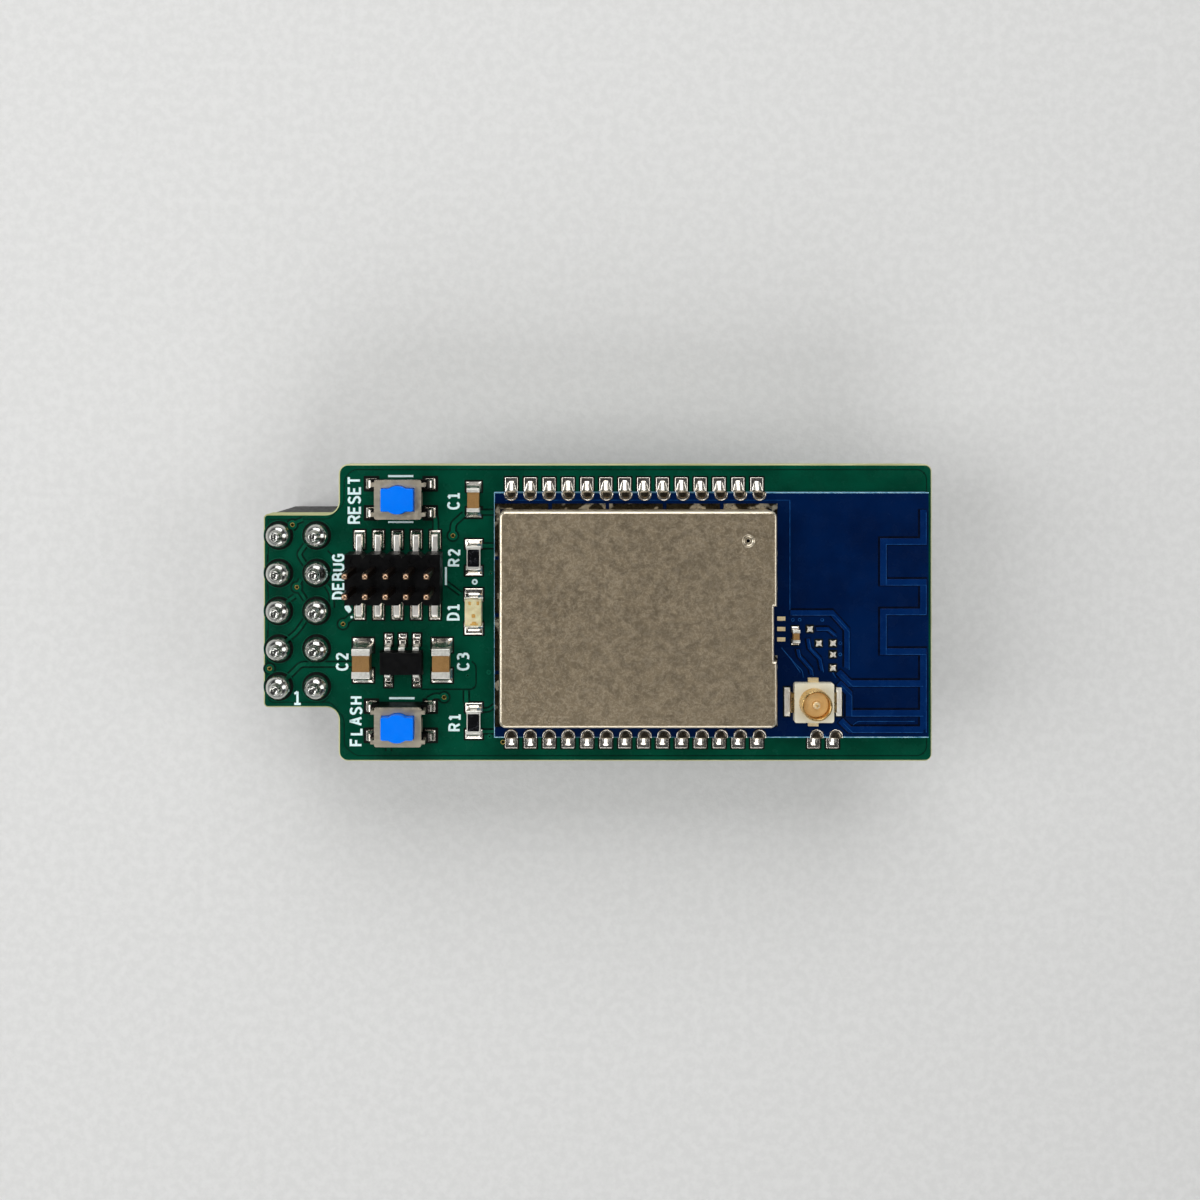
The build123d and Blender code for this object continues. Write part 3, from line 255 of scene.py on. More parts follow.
# The beads' solder: a darker, faintly green copy of the solder, painted shade with a painted reflection of
# the board
bead_solder_shaded = metal("bead_solder_painted_shade", (0.64, 0.65, 0.61), (0.52, 0.52, 0.48), 0.16, 0.003, 0.0002, 0.7, 0.06)
tin = metal("tin_plate", (0.95, 0.94, 0.88), (0.8, 0.79, 0.72), 0.42, 0.006, 0.004, 0.2, 0.16)
bright = metal("bright_plate", (0.84, 0.8, 0.74), (0.66, 0.6, 0.52), 0.2, 0.004, 0.0008, 0.4, 0.1)
gold = metal("gold_plate", (0.86, 0.62, 0.28), (0.68, 0.44, 0.16), 0.24, 0.006, 0.002, 0.4, 0.12)
dull_gold = metal("dull_gold_plate", (0.46, 0.35, 0.1), (0.24, 0.2, 0.06), 0.34, 0.004, 0.001, 0.3)
pale_gold = metal("pale_gold_plate", (1.0, 0.84, 0.54), (0.9, 0.7, 0.4), 0.48, 0.006, 0.002, 0.2)


def highlight_on_folds(look, tilted, flat):
    """1 on the round folds of a sheet, 0 on its flat top and its upright walls: where a highlight is
    painted.
    """
    up = look.axis("Normal", "Z")
    return look.maths("MULTIPLY", look.remap(up, tilted, flat, 1.0, 0.0), look.remap(up, 0.05, 0.3))


cover_metal = Look("cover_sheet", (0.5, 0.43, 0.34), 0.44, 1.0)
roll = cover_metal.remap(cover_metal.noise(0.5, 4.0, 0.6, 0.0, (0.08, 1, 1)), 0.3, 0.7)
# The cover's round folds are painted pale: painted highlight
fold_highlight = highlight_on_folds(cover_metal, 0.9, 0.98)
sheet_tone = cover_metal.mix(roll, (0.54, 0.475, 0.37), (0.64, 0.575, 0.46))
cover_metal.put("Base Color", cover_metal.mix(fold_highlight, sheet_tone, (1.0, 0.96, 0.88)))
matt = cover_metal.remap(cover_metal.noise(0.25), 0.3, 0.7, 0.4, 0.5)
cover_metal.put("Roughness", cover_metal.mix_value(fold_highlight, matt, 0.2))
cover_metal.bump(cover_metal.noise(0.06, 3.0, 0.6, 0.0, (0.1, 1, 1)), 0.004, 0.6)

can_metal = Look("can_sheet", (0.36, 0.29, 0.21), 0.46, 1.0)
broken = can_metal.remap(can_metal.noise(0.22, 1.0), 0.4, 0.5)
coarse = can_metal.maths("MULTIPLY", can_metal.ridges(0.36, 1.2, 0.085), broken)
broken = can_metal.remap(can_metal.noise(0.2, 1.0, stretch=(0.9, 1, 1)), 0.44, 0.54)
fine = can_metal.maths("MULTIPLY", can_metal.ridges(0.32, 1.4, 0.085, (1.0, 0.93, 1.1)), broken)
worms = can_metal.maths("MAXIMUM", coarse, fine)
smear = can_metal.remap(can_metal.noise(6.0, 3.0, 0.5), 0.3, 0.7)
pits = can_metal.remap(can_metal.cells(0.8), 0.0, 0.05, 0.6, 0.0)
sheet_tone = can_metal.mix(smear, (0.36, 0.288, 0.19), (0.39, 0.315, 0.212))
sheet_tone = can_metal.mix(can_metal.maths("MULTIPLY", worms, 0.45), sheet_tone, (0.66, 0.56, 0.42))
sheet_tone = can_metal.mix(pits, sheet_tone, (0.15, 0.11, 0.07))
# The can's round folds and the dimple's bowl are painted pale: painted highlight
fold_highlight = highlight_on_folds(can_metal, 0.93, 0.985)
can_metal.put("Base Color", can_metal.mix(fold_highlight, sheet_tone, (0.72, 0.65, 0.52)))
matt = can_metal.remap(can_metal.noise(0.5, 3.0), 0.3, 0.7, 0.42, 0.52)
can_metal.put("Roughness", can_metal.mix_value(fold_highlight, matt, 0.32))
can_metal.bump(worms, 0.004, 0.7)
can_metal.bump(can_metal.noise(0.05, 2.0, 0.5), 0.001, 0.5)

black = moulding("black_moulding", (0.0012, 0.0012, 0.0014), (0.005, 0.005, 0.0055), 0.42, 0.005, 0.06, 0.4)
chip_black = moulding(
    "chip_moulding", (0.0014, 0.0014, 0.0016), (0.0045, 0.0045, 0.005), 0.42, 0.006, 0.05, 0.3
)
button_blue = moulding("button_blue", (0.0, 0.185, 0.96), (0.002, 0.21, 1.0), 0.34, 0.002, 0.12, 0.06)
coax_white = moulding("coax_white", (0.76, 0.72, 0.57), (0.85, 0.82, 0.69), 0.4, 0.003, 0.1, 0.1)
coax_tan = moulding("coax_floor", (0.66, 0.41, 0.16), (0.78, 0.53, 0.25), 0.3, 0.002, 0.1, 0.1)
core_white = moulding("alumina", (0.68, 0.67, 0.6), (0.82, 0.81, 0.76), 0.55, 0.005, 0.05, 0.1)

fired = Look("capacitor_ceramic", (0.25, 0.14, 0.052), 0.44)
grains = fired.remap(fired.noise(0.05, 3.0, 0.7), 0.3, 0.7)
bands = fired.remap(fired.noise(0.6, 3.0), 0.35, 0.65)
ceramic = fired.mix(grains, (0.2, 0.1, 0.024), (0.32, 0.172, 0.05))
fired.put("Base Color", fired.mix(fired.maths("MULTIPLY", bands, 0.4), ceramic, (0.34, 0.19, 0.06)))
fired.bump(grains, 0.004, 0.7)

coat = Look("resistor_coat", (0.006, 0.006, 0.007), 0.22, 0.0, Coat_Weight=0.3)
smudge = coat.remap(coat.ridges(0.35, 2.0, 0.12), 0.4, 1.0)
fog = coat.maths("MULTIPLY", smudge, coat.remap(coat.noise(0.5), 0.45, 0.7))
coat.put("Base Color", coat.mix(fog, (0.003, 0.003, 0.004), (0.05, 0.052, 0.062)))
coat.put("Roughness", coat.remap(fog, 0.0, 1.0, 0.2, 0.5))
coat.bump(coat.noise(0.3, 2.0), 0.012, 0.7)

resin = Look("cast_resin", (0.72, 0.69, 0.5), 0.26, 0.0, Subsurface_Weight=0.3, Subsurface_Scale=0.3 * MM)
milk = resin.remap(resin.noise(0.4, 3.0), 0.3, 0.7)
resin.put("Base Color", resin.mix(milk, (0.66, 0.58, 0.33), (0.8, 0.74, 0.48)))
resin.bump(resin.noise(0.3, 2.0), 0.008, 0.6)
amber = mottled("gold_under_resin", (0.5, 0.26, 0.06), (0.68, 0.42, 0.13), 0.28, 0.12, 0.003)

# The header's pins: plating painted dark along the sides as shade, tinned feet, and paler tips as painted
# highlight
pin_metal = metal("header_pin_plate", (0.11, 0.062, 0.035), (0.055, 0.032, 0.02), 0.3, 0.003, 0.001, 0.3)
pin_colour = pin_metal.shader.inputs["Base Color"].links[0].from_socket
height = pin_metal.axis("Object", "Z")
tinned = pin_metal.remap(height, 10.75 * MM, 10.95 * MM, 1.0, 0.0)
lit_tips = pin_metal.remap(height, 15.5 * MM, 15.57 * MM)
pin_colour = pin_metal.mix(lit_tips, pin_colour, (0.52, 0.34, 0.22))
pin_metal.put("Base Color", pin_metal.mix(tinned, pin_colour, (0.97, 0.94, 0.88)))
matt = pin_metal.remap(pin_metal.noise(0.3), 0.3, 0.7, 0.4, 0.55)
pin_metal.put("Roughness", pin_metal.mix_value(tinned, 0.3, matt))

# The socket's contacts: gold, with solder on their tails
contact_metal = metal("contact_plate", (0.86, 0.62, 0.28), (0.68, 0.44, 0.16), 0.22, 0.006, 0.002, 0.4)
contact_colour = contact_metal.shader.inputs["Base Color"].links[0].from_socket
soldered = contact_metal.remap(contact_metal.axis("Object", "Z"), 8.4 * MM, 8.9 * MM)
contact_metal.put("Base Color", contact_metal.mix(soldered, contact_colour, (0.8, 0.78, 0.74)))

floor_look = mottled("pale_floor", (0.7, 0.7, 0.69), (0.745, 0.745, 0.735), 0.7, 0.7, 0.02)

# Materials of the CAD nodes, solder for the ones that are not named

looks = {
    "carrier_board": green,
    "module_board": blue,
    "antenna_trace": blue_copper,
    "feed_traces": blue_copper,
    "shield_can": can_metal,
    "can_seam": seam_solder_shaded,
    "socket_housing": black,
    "debug_header_body": black,
    "regulator_body": chip_black,
    "radio_chip": chip_black,
    "resistor_coats": coat,
    "resistor_cores": core_white,
    "light_base": core_white,
    "light_lens": resin,
    "light_die": pale_gold,
    "coax_insulator": coax_white,
    "coax_shell": gold,
    "coax_pin": pale_gold,
    "filter_strips": pale_gold,
    "socket_contacts": contact_metal,
    "debug_header_pins": pin_metal,
    "chip_ends": tin,
    "filter_cap_ends": tin,
    "crystals": tin,
    "inner_chips": fired,
    "c1_body": fired,
    "c2_body": fired,
    "c3_body": fired,
    "filter_cap_body": fired,
    "regulator_leads": tin,
}
for part in ("reset", "flash"):
    looks[part + "_base"] = black
    looks[part + "_button"] = button_blue
    looks[part + "_cover"] = cover_metal
    looks[part + "_dome"] = bright
    looks[part + "_terminals"] = bright
for node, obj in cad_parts.items():
    obj.data.materials.clear()
    obj.data.materials.append(looks.get(node, solder).mat)


def soften(node, width, segments=2):
    """Rounds a CAD node's sharp edges by a modifier, for the light they catch."""
    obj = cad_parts[node]
    weld = obj.modifiers.new("weld", "WELD")
    weld.merge_threshold = 0.0002 * MM
    edge = obj.modifiers.new("edge", "BEVEL")
    edge.width = width * MM
    edge.segments = segments
    edge.limit_method = "ANGLE"
    edge.angle_limit = radians(40)


for node, width in {
    "reset_cover": 0.07,
    "flash_cover": 0.07,
    "regulator_body": 0.03,
    "coax_insulator": 0.03,
    "reset_base": 0.03,
    "flash_base": 0.03,
    "antenna_trace": 0.02,
    "feed_traces": 0.02,
    "filter_strips": 0.02,
    "chip_ends": 0.03,
    "regulator_leads": 0.02,
    "debug_header_pins": 0.09,
}.items():
    soften(node, width)


# Helpers for the pieces, all in millimetres

def islands(node):
    """The boxes of a node's separate solids: lowest and highest corner, in millimetres."""
    bm = bmesh.new()
    bm.from_mesh(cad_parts[node].data)
    bmesh.ops.remove_doubles(bm, verts=bm.verts, dist=0.0002 * MM)
    left, boxes = set(bm.verts), []
    while left:
        reach = [left.pop()]
        group = list(reach)
        while reach:
            for edge in reach.pop().link_edges:
                for vert in edge.verts:
                    if vert in left:
                        left.remove(vert)
                        reach.append(vert)
                        group.append(vert)
        points = [v.co / MM for v in group]
        low = Vector([min(p[i] for p in points) for i in range(3)])
        high = Vector([max(p[i] for p in points) for i in range(3)])
        boxes.append((low, high))
    bm.free()
    return sorted(boxes, key=lambda box: tuple(round(v, 3) for v in box[0]))


def piece(name, bm, look, smooth=False):
    """Makes a mesh, in millimetres, into a piece that rides on the board."""
    bmesh.ops.recalc_face_normals(bm, faces=bm.faces)
    for face in bm.faces:
        face.smooth = smooth
    bmesh.ops.scale(bm, vec=(MM, MM, MM), verts=bm.verts)
    mesh = bpy.data.meshes.new(name)
    bm.to_mesh(mesh)
    bm.free()
    obj = bpy.data.objects.new(name, mesh)
    bpy.context.scene.collection.objects.link(obj)
    mesh.materials.append(look.mat)
    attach(obj, "board")
    return obj


layers = cycle([0.001 * (step % 12) for step in range(1, 13)])


def layer(top):
    """The same level, a hair higher for each new strip, so that crossing strips never coincide."""
    return top + next(layers)


def slab(bm, outline, base, top):
    """A flat plate over an outline of points."""
    top = layer(top)
    low = [bm.verts.new((x, y, base)) for x, y in outline]
    high = [bm.verts.new((x, y, top)) for x, y in outline]
    bm.faces.new(high)
    bm.faces.new(low[::-1])
    for i in range(len(outline)):
        j = (i + 1) % len(outline)
        bm.faces.new((low[i], low[j], high[j], high[i]))


def rounded(x, y, width, height, radius, steps=4):
    """The outline of a rectangle with round corners."""
    points = []
    for turn, (sx, sy) in enumerate(((1, 1), (-1, 1), (-1, -1), (1, -1))):
        for step in range(steps + 1):
            angle = pi / 2 * (turn + step / steps)
            cx = x + sx * (width / 2 - radius)
            cy = y + sy * (height / 2 - radius)
            points.append((cx + radius * cos(angle), cy + radius * sin(angle)))
    return points


def ribbon(bm, points, width, base, top, close=False):
    """A flat strip along a line, mitred at its corners."""
    line = [Vector(p) for p in points]
    count = len(line)
    top = layer(top)
    rows = []
    for i, point in enumerate(line):
        ahead = line[(i + 1) % count] - point if close or i < count - 1 else None
        behind = point - line[i - 1] if close or i else None
        ahead, behind = ahead or behind, behind or ahead
        first, second = behind.normalized(), ahead.normalized()
        across = (first + second).normalized().orthogonal()
        share = max(0.45, abs(across.dot(first.orthogonal())))
        half = across * (width / 2 / share)
        rows.append([
            bm.verts.new((*(point + side * half), level))
            for side, level in ((1, base), (1, top), (-1, top), (-1, base))
        ])
    pairs = list(zip(rows, rows[1:])) + ([(rows[-1], rows[0])] if close else [])
    for first, second in pairs:
        for k in range(4):
            m = (k + 1) % 4
            bm.faces.new((first[k], first[m], second[m], second[k]))
    if not close:
        bm.faces.new(rows[0][::-1])
        bm.faces.new(rows[-1])


def lathe(bm, x, y, profile, steps=40, stretch=(1, 1, 1)):
    """A turned form from its (radius, height) profile, stretched along X, towards +Y and towards -Y."""
    rings = []
    for radius, level in profile:
        if radius == 0:
            rings.append([bm.verts.new((x, y, level))])
            continue
        ring = []
        for k in range(steps):
            u, v = radius * cos(2 * pi * k / steps), radius * sin(2 * pi * k / steps)
            ring.append(bm.verts.new((x + u * stretch[0], y + v * stretch[1 if v > 0 else 2], level)))
        rings.append(ring)
    for low, high in zip(rings, rings[1:]):
        for k in range(steps):
            m = (k + 1) % steps
            corners = [low[k % len(low)], low[m % len(low)], high[m % len(high)], high[k % len(high)]]
            bm.faces.new(list(dict.fromkeys(corners)))


def washer(bm, x, y, inner, outer, base, top, steps=32):
    """A flat ring."""
    top = layer(top)
    lathe(bm, x, y, [(inner, base), (outer, base), (outer, top), (inner, top), (inner, base)], steps)


def bent(points, radius, steps=4):
    """The same line with its inner corners rounded."""
    line = [Vector(p) for p in points]
    out = [line[0]]
    for before, corner, after in zip(line, line[1:], line[2:]):
        reach = min(radius, (corner - before).length / 2, (after - corner).length / 2)
        start = corner + (before - corner).normalized() * reach
        end = corner + (after - corner).normalized() * reach
        for k in range(steps + 1):
            t = k / steps
            out.append(start * (1 - t) ** 2 + corner * 2 * t * (1 - t) + end * t ** 2)
    return [tuple(p) for p in out + [line[-1]]]


def relief(bm, low, high, base, height, cell=0.033):
    """A closed body over a rectangle whose top follows height(x, y)."""
    columns = max(4, ceil((high[0] - low[0]) / cell))
    rows = max(4, ceil((high[1] - low[1]) / cell))
    top, foot = [], []
    for j in range(rows + 1):
        y = low[1] + (high[1] - low[1]) * j / rows
        xs = [low[0] + (high[0] - low[0]) * i / columns for i in range(columns + 1)]
        top.append([bm.verts.new((x, y, height(x, y))) for x in xs])
        foot.append([bm.verts.new((x, y, base)) for x in xs])
    for j in range(rows):
        for i in range(columns):
            bm.faces.new((top[j][i], top[j][i + 1], top[j + 1][i + 1], top[j + 1][i]))
    border = [(0, i) for i in range(columns)] + [(j, columns) for j in range(rows)]
    border += [(rows, i) for i in range(columns, 0, -1)] + [(j, 0) for j in range(rows, 0, -1)]
    for (j, i), (m, k) in zip(border, border[1:] + border[:1]):
        bm.faces.new((foot[j][i], foot[m][k], top[m][k], top[j][i]))
    bm.faces.new([foot[j][i] for j, i in border][::-1])
    bmesh.ops.delete(bm, geom=[v for row in foot for v in row if not v.link_edges], context="VERTS")


film, hollow = 0.03, 2.3  # thinnest solder on a pad, power of the curve that it climbs in


def wetting(bm, low, high, foot, climb, reach, base=board_top, dome=0.07):
    """Solder on a pad: domed, and climbing in a hollow curve round the foot that stands on it."""
    middle = min(high[0] - low[0], high[1] - low[1]) / 2
    lift, spread = climb * random.uniform(0.88, 1.08), reach * random.uniform(0.9, 1.1)

    def height(x, y):
        inside = min(x - low[0], high[0] - x, y - low[1], high[1] - y) / middle
        away = hypot(max(foot[0] - x, x - foot[2], 0), max(foot[1] - y, y - foot[3], 0))
        rise = lift * max(0.0, 1 - away / spread) ** hollow
        round_off = dome * sqrt(max(0.0, 1 - (1 - inside) ** 2))
        return base + film + round_off + rise * min(1, 0.2 + 4 * inside)

    relief(bm, low, high, base - 0.002, height)


# Bare laminate round the pads and beads, painted near black and widened as painted shade
margins = {
    "reset_pads": 0.34,
    "flash_pads": 0.34,
    "debug_header_pads": 0.2,
    "regulator_pads": 0.2,
    "chip_joints": 0.2,
    "module_joints": 0.2,
}
opening_top = board_top + 0.007
bead_ring = 0.98  # where the mask begins round a bead
bm = bmesh.new()
for node, margin in margins.items():
    for low, high in islands(node):
        middle, size = (low + high) / 2, high - low
        plan = rounded(middle.x, middle.y, size.x + margin, size.y + margin, 0.07)
        slab(bm, plan, board_foot, opening_top)
for x, y in bead_points:
    washer(bm, x, y, 0.55, bead_ring, board_foot, opening_top, 40)
piece("mask_openings", bm, bare_and_shade_look)

# The same dark frames round the pads on the blue board: painted shade
bm = bmesh.new()
for low, high in islands("filter_pads"):
    middle, size = (low + high) / 2, high - low
    plan = rounded(middle.x, middle.y, size.x + 0.14, size.y + 0.14, 0.05)
    slab(bm, plan, module_foot, module_top + 0.006)
piece("radio_mask_openings", bm, bare_and_shade_look)

# Copper lines under the green mask, and the narrow gaps beside them

line_top = board_top + 0.02
channel = board_top + 0.004
gap = 0.12  # between a line and the copper round it
lines = [  # copper lines: their points and width
    ([(-0.75, -4.55), (-0.28, -4.08), (0.2, -3.6), (3.7, -3.6)], 0.26),
    ([(3.04, -0.89), (3.55, -0.45), (4.1, -0.1)], 0.3),
    ([(2.15, 2.5), (2.75, 2.42), (3.6, 2.42)], 0.26),
    ([(-0.37, 5.79), (-0.05, 6.0), (0.35, 6.15)], 0.2),
    ([(10.43, 5.06), (10.45, 5.85), (11.2, 6.5)], 0.28),
    ([(9.27, 5.2), (9.27, 6.2), (9.1, 6.45)], 0.26),
    ([(12.3, 6.63), (13.24, 6.63)], 0.26),
    ([(12.3, 4.37), (13.24, 4.37)], 0.26),
    ([(9.95, 1.9), (10.95, 1.15)], 0.16),
    ([(11.33, -5.35), (11.33, -6.2)], 0.26),
    ([(9.84, -5.82), (9.2, -5.72), (8.75, -6.0)], 0.26),
    ([(12.35, -6.67), (12.85, -6.68), (13.24, -6.35)], 0.16),
    ([(12.3, -8.12), (13.24, -8.12)], 0.2),
    ([(0.2, 2.1), (0.06, 1.85)], 0.2),
    ([(0.1, 1.34), (0.25, 1.15), (0.5, 0.75)], 0.2),
    ([(-0.75, 0.6), (-0.2, 1.0)], 0.2),
    ([(0.5, -0.6), (-0.05, -1.4), (-0.75, -2.0)], 0.22),
    ([(0.55, 4.5), (0.05, 3.8), (0.5, 3.1)], 0.22),
    ([(1.9, 1.75), (2.25, 1.2), (2.3, 0.2)], 0.2),
    ([(6.1, -9.0), (6.1, -9.45)], 0.26),
]
bm, lower = bmesh.new(), bmesh.new()
vias = [(-0.37, 5.79), (-0.07, 1.59), (-1.9, -3.89), (3.04, -0.89), (9.84, -5.82), (10.43, 5.06)]
for points, width in lines:
    if points[0] in vias:
        way = (Vector(points[1]) - Vector(points[0])).normalized() * 0.25
        points = [tuple(Vector(points[0]) + way)] + points[1:]
    path = bent(points, 0.25)
    ribbon(bm, path, width, board_foot, line_top)
    ribbon(lower, path, width + 2 * gap, board_foot, channel)
for x, y in vias:
    washer(bm, x, y, 0.165, 0.31, board_foot, line_top)
    washer(lower, x, y, 0.2, 0.44, board_foot, channel)
for x, y in ((11.43, -4.36), (12.85, -4.14), (12.9, -8.45), (12.98, 2.51)):
    washer(bm, x, y, 0.05, 0.17, board_foot, line_top - 0.008, 20)
for x, y in bead_points:
    washer(bm, x, y, bead_ring, bead_ring + 0.06, board_foot, line_top, 40)
piece("copper_lines", bm, green_copper)

pour = [
    (-2.0, 6.15), (2.1, 6.18), (3.1, 7.2), (3.12, 8.9), (3.7, 9.5), (13.4, 9.5), (41.9, 9.5),
    (42.3, 9.1), (42.3, -9.35), (41.9, -9.75), (3.9, -9.75), (3.12, -9.1), (3.1, -7.2), (2.2, -6.15),
    (-1.8, -6.15), (-2.0, -5.9),
]
ribbon(lower, bent(pour + pour[:1], 0.3), 0.055, board_foot, channel)
for path in (
    [(8.3, -5.28), (11.75, -5.28), (11.99, -5.05), (11.99, -3.65), (11.7, -3.4)],
    [(2.0, 4.05), (2.45, 3.6), (2.45, 2.9)],
    [(1.6, -6.2), (2.05, -5.85), (2.1, -4.5)],
    [(-2.05, 3.8), (-2.05, 1.3)],
    [(-2.05, -1.3), (-2.05, -3.7)],
):
    ribbon(lower, bent(path, 0.2), 0.09, board_foot, channel)
piece("copper_gaps", lower, green_gap)

# Plated rings of the vias, on both faces of the board, and two bare rings

bm = bmesh.new()
for x, y in vias:
    for level, out in ((board_top, 1), (board_bottom, -1)):
        profile = [(0.08, level - 0.12 * out), (0.095, level), (0.11, level + 0.024 * out)]
        profile += [(0.135, level + 0.027 * out), (0.155, level + 0.01 * out), (0.15, level - 0.01 * out)]
        lathe(bm, x, y, profile, 24)
for x, y in ((12.98, 2.52), (13.8, -8.83)):
    washer(bm, x, y, 0.1, 0.165, board_top, board_top + 0.012, 24)
piece("via_rings", bm, dull_gold, smooth=True)

# Beads on the socket's tails: a dome, a hollow neck round the tail and a dimpled tip
bm = bmesh.new()
dome = [(0.84, 0.05), (0.84, 0.16), (0.826, 0.28), (0.8, 0.39), (0.762, 0.49), (0.712, 0.575), (0.652, 0.65),
        (0.585, 0.71), (0.515, 0.755), (0.455, 0.79)]
neck = [(0.415, 0.825), (0.385, 0.875), (0.367, 0.95), (0.355, 1.04), (0.348, 1.15), (0.33, 1.25)]
tip = [(0.285, 1.318), (0.24, 1.335), (0.195, 1.33), (0.16, 1.31), (0.12, 1.306), (0.06, 1.318), (0, 1.322)]
for x, y in bead_points:
    swell = random.uniform(0.985, 1.0)
    profile = [(0.84, board_top - 0.01)] + [(r * swell, board_top + h) for r, h in dome + neck + tip]
    lathe(bm, x, y, profile, 56)
beads = piece("solder_beads", bm, bead_solder_shaded, smooth=True)
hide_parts("socket_joints")

# Chip parts: solder spreads farther at the tall ones
tall = 0.4
bm = bmesh.new()
for low, high in islands("chip_joints"):
    x, y, width, length, climb = min(chips, key=lambda c: hypot(c[0] - low.x, c[1] - (low.y + high.y) / 2))
    side = 1 if (low.y + high.y) / 2 > y else -1
    ends = sorted((y + side * length * 0.3, y + side * length / 2))
    foot = (x - width * 0.24, ends[0], x + width * 0.24, ends[1])
    wetting(bm, low, high, foot, climb, 0.56 if climb > tall else 0.36)
joints = piece("chip_solder", bm, solder, smooth=True)
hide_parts("chip_joints")


def solder_feet(bm, node, along, middle, near, far, half, climb, reach, dome=0.07):
    """Solder on a node's pads, round feet that stand from near to far on both sides of a middle."""
    for low, high in islands(node):
        side = 1 if low[along] > middle else -1
        start, end = sorted((middle + side * near, middle + side * far))
        centre = (low[1 - along] + high[1 - along]) / 2
        if along == 0:
            foot = (start, centre - half, end, centre + half)
        else:
            foot = (centre - half, start, centre + half, end)
        wetting(bm, low, high, foot, climb, reach, dome=dome)


# Header pins, regulator leads and switch terminals
bm = bmesh.new()
solder_feet(bm, "debug_header_pads", 1, header_y, 1.5, 2.75, 0.2, 0.3, 0.24)
solder_feet(bm, "regulator_pads", 1, regulator_y, 0.9, 1.38, 0.18, 0.16, 0.3, dome=0.05)
for node in ("reset_pads", "flash_pads"):
    solder_feet(bm, node, 0, switch_x, 1.6, 2.06, 0.21, 0.36, 0.27)
piece("lead_solder", bm, solder, smooth=True)

# Half-round notches: a ridge from the pad up into the notch, and a dome over it
bm, domes = bmesh.new(), bmesh.new()
pad_half, pad_reach, pad_round = 0.43, 0.95, 0.07
cap = [(0.36, -0.78), (0.39, -0.3), (0.4, 0.0), (0.385, 0.022), (0.35, 0.043), (0.29, 0.062), (0.2, 0.078),
       (0.1, 0.086), (0, 0.088)]
turns = [pi / 4 * k for k in range(9)]
ring = [(0.425 + 0.03 * cos(turn), 0.045 + 0.03 * sin(turn)) for turn in turns]
spots = [(x, module_high, 1) for x in notches] + [(x, module_low, -1) for x in notches + extra_notches]
for x, edge, side in spots:
    toe, rise = random.uniform(0.7, 0.78), (0.32 if side > 0 else 0.28) * random.uniform(0.97, 1.03)
    pad = sorted((edge, edge + side * pad_reach))

    def ridge(px, py):
        out = abs(py - edge) / toe
        crest = exp(-((px - x) / (0.26 - 0.1 * min(1, out))) ** 4)
        inside = min(1, (pad_half - abs(px - x)) / pad_round)
        round_off = 0.022 * sqrt(max(0.0, 1 - (1 - inside) ** 2))
        slope = rise * max(0.0, 1 - out) + 0.3 * max(0.0, 1 - 7 * out) ** 1.5
        return board_top + 0.028 + round_off + slope * (0.04 + 0.96 * crest)

    relief(bm, (x - pad_half, pad[0]), (x + pad_half, pad[1]), board_foot, ridge)
    shape = (1, 0.2, 1.22) if side > 0 else (1, 1.22, 0.2)
    lathe(domes, x, edge, [(r, module_top + h) for r, h in cap], 28, shape)
    shape = (1, 0.02, 1.24) if side > 0 else (1, 1.24, 0.02)
    lathe(bm, x, edge, [(r, module_top + h) for r, h in ring], 28, shape)
rims = piece("notch_solder", bm, solder, smooth=True)
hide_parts("module_joints")
piece("notch_domes", domes, shaded, smooth=True)

# Bare dots, the small capacitor's ends and the coaxial port's feet
dot = [(0.18, 0.18), (0, 0.12), (-0.18, 0.18), (-0.12, 0), (-0.18, -0.18), (0, -0.12), (0.18, -0.18),
       (0.12, 0)]
filter_x, filter_y = coax_x - 1.18, coax_y + 4.4
bm, pale = bmesh.new(), bmesh.new()
for low, high in islands("filter_pads"):
    middle, size = (low + high) / 2, high - low
    if high.z > module_top + 0.1:
        side = 1 if middle.y > filter_y else -1
        ends = sorted((filter_y, filter_y + side * 0.43))
        foot = (filter_x - 0.2, ends[0], filter_x + 0.2, ends[1])
        wetting(bm, low, high, foot, 0.16, 0.2, module_top, 0.03)
    elif size.y > 1:
        side = 1 if middle.x > coax_x else -1
        ends = sorted((coax_x + side * 1.3, coax_x + side * 1.51))
        foot = (ends[0], coax_y - 0.65, ends[1], coax_y + 0.65)
        wetting(pale, low, high, foot, 0.12, 0.3, module_top, 0.04)
    else:
        slab(pale, [(middle.x + u, middle.y + v) for u, v in dot], module_foot, module_top + 0.125)
piece("radio_solder", bm, solder, smooth=True)
piece("radio_pads", pale, frosted)

# Printed lettering: strokes of each letter, in units of the letters' height

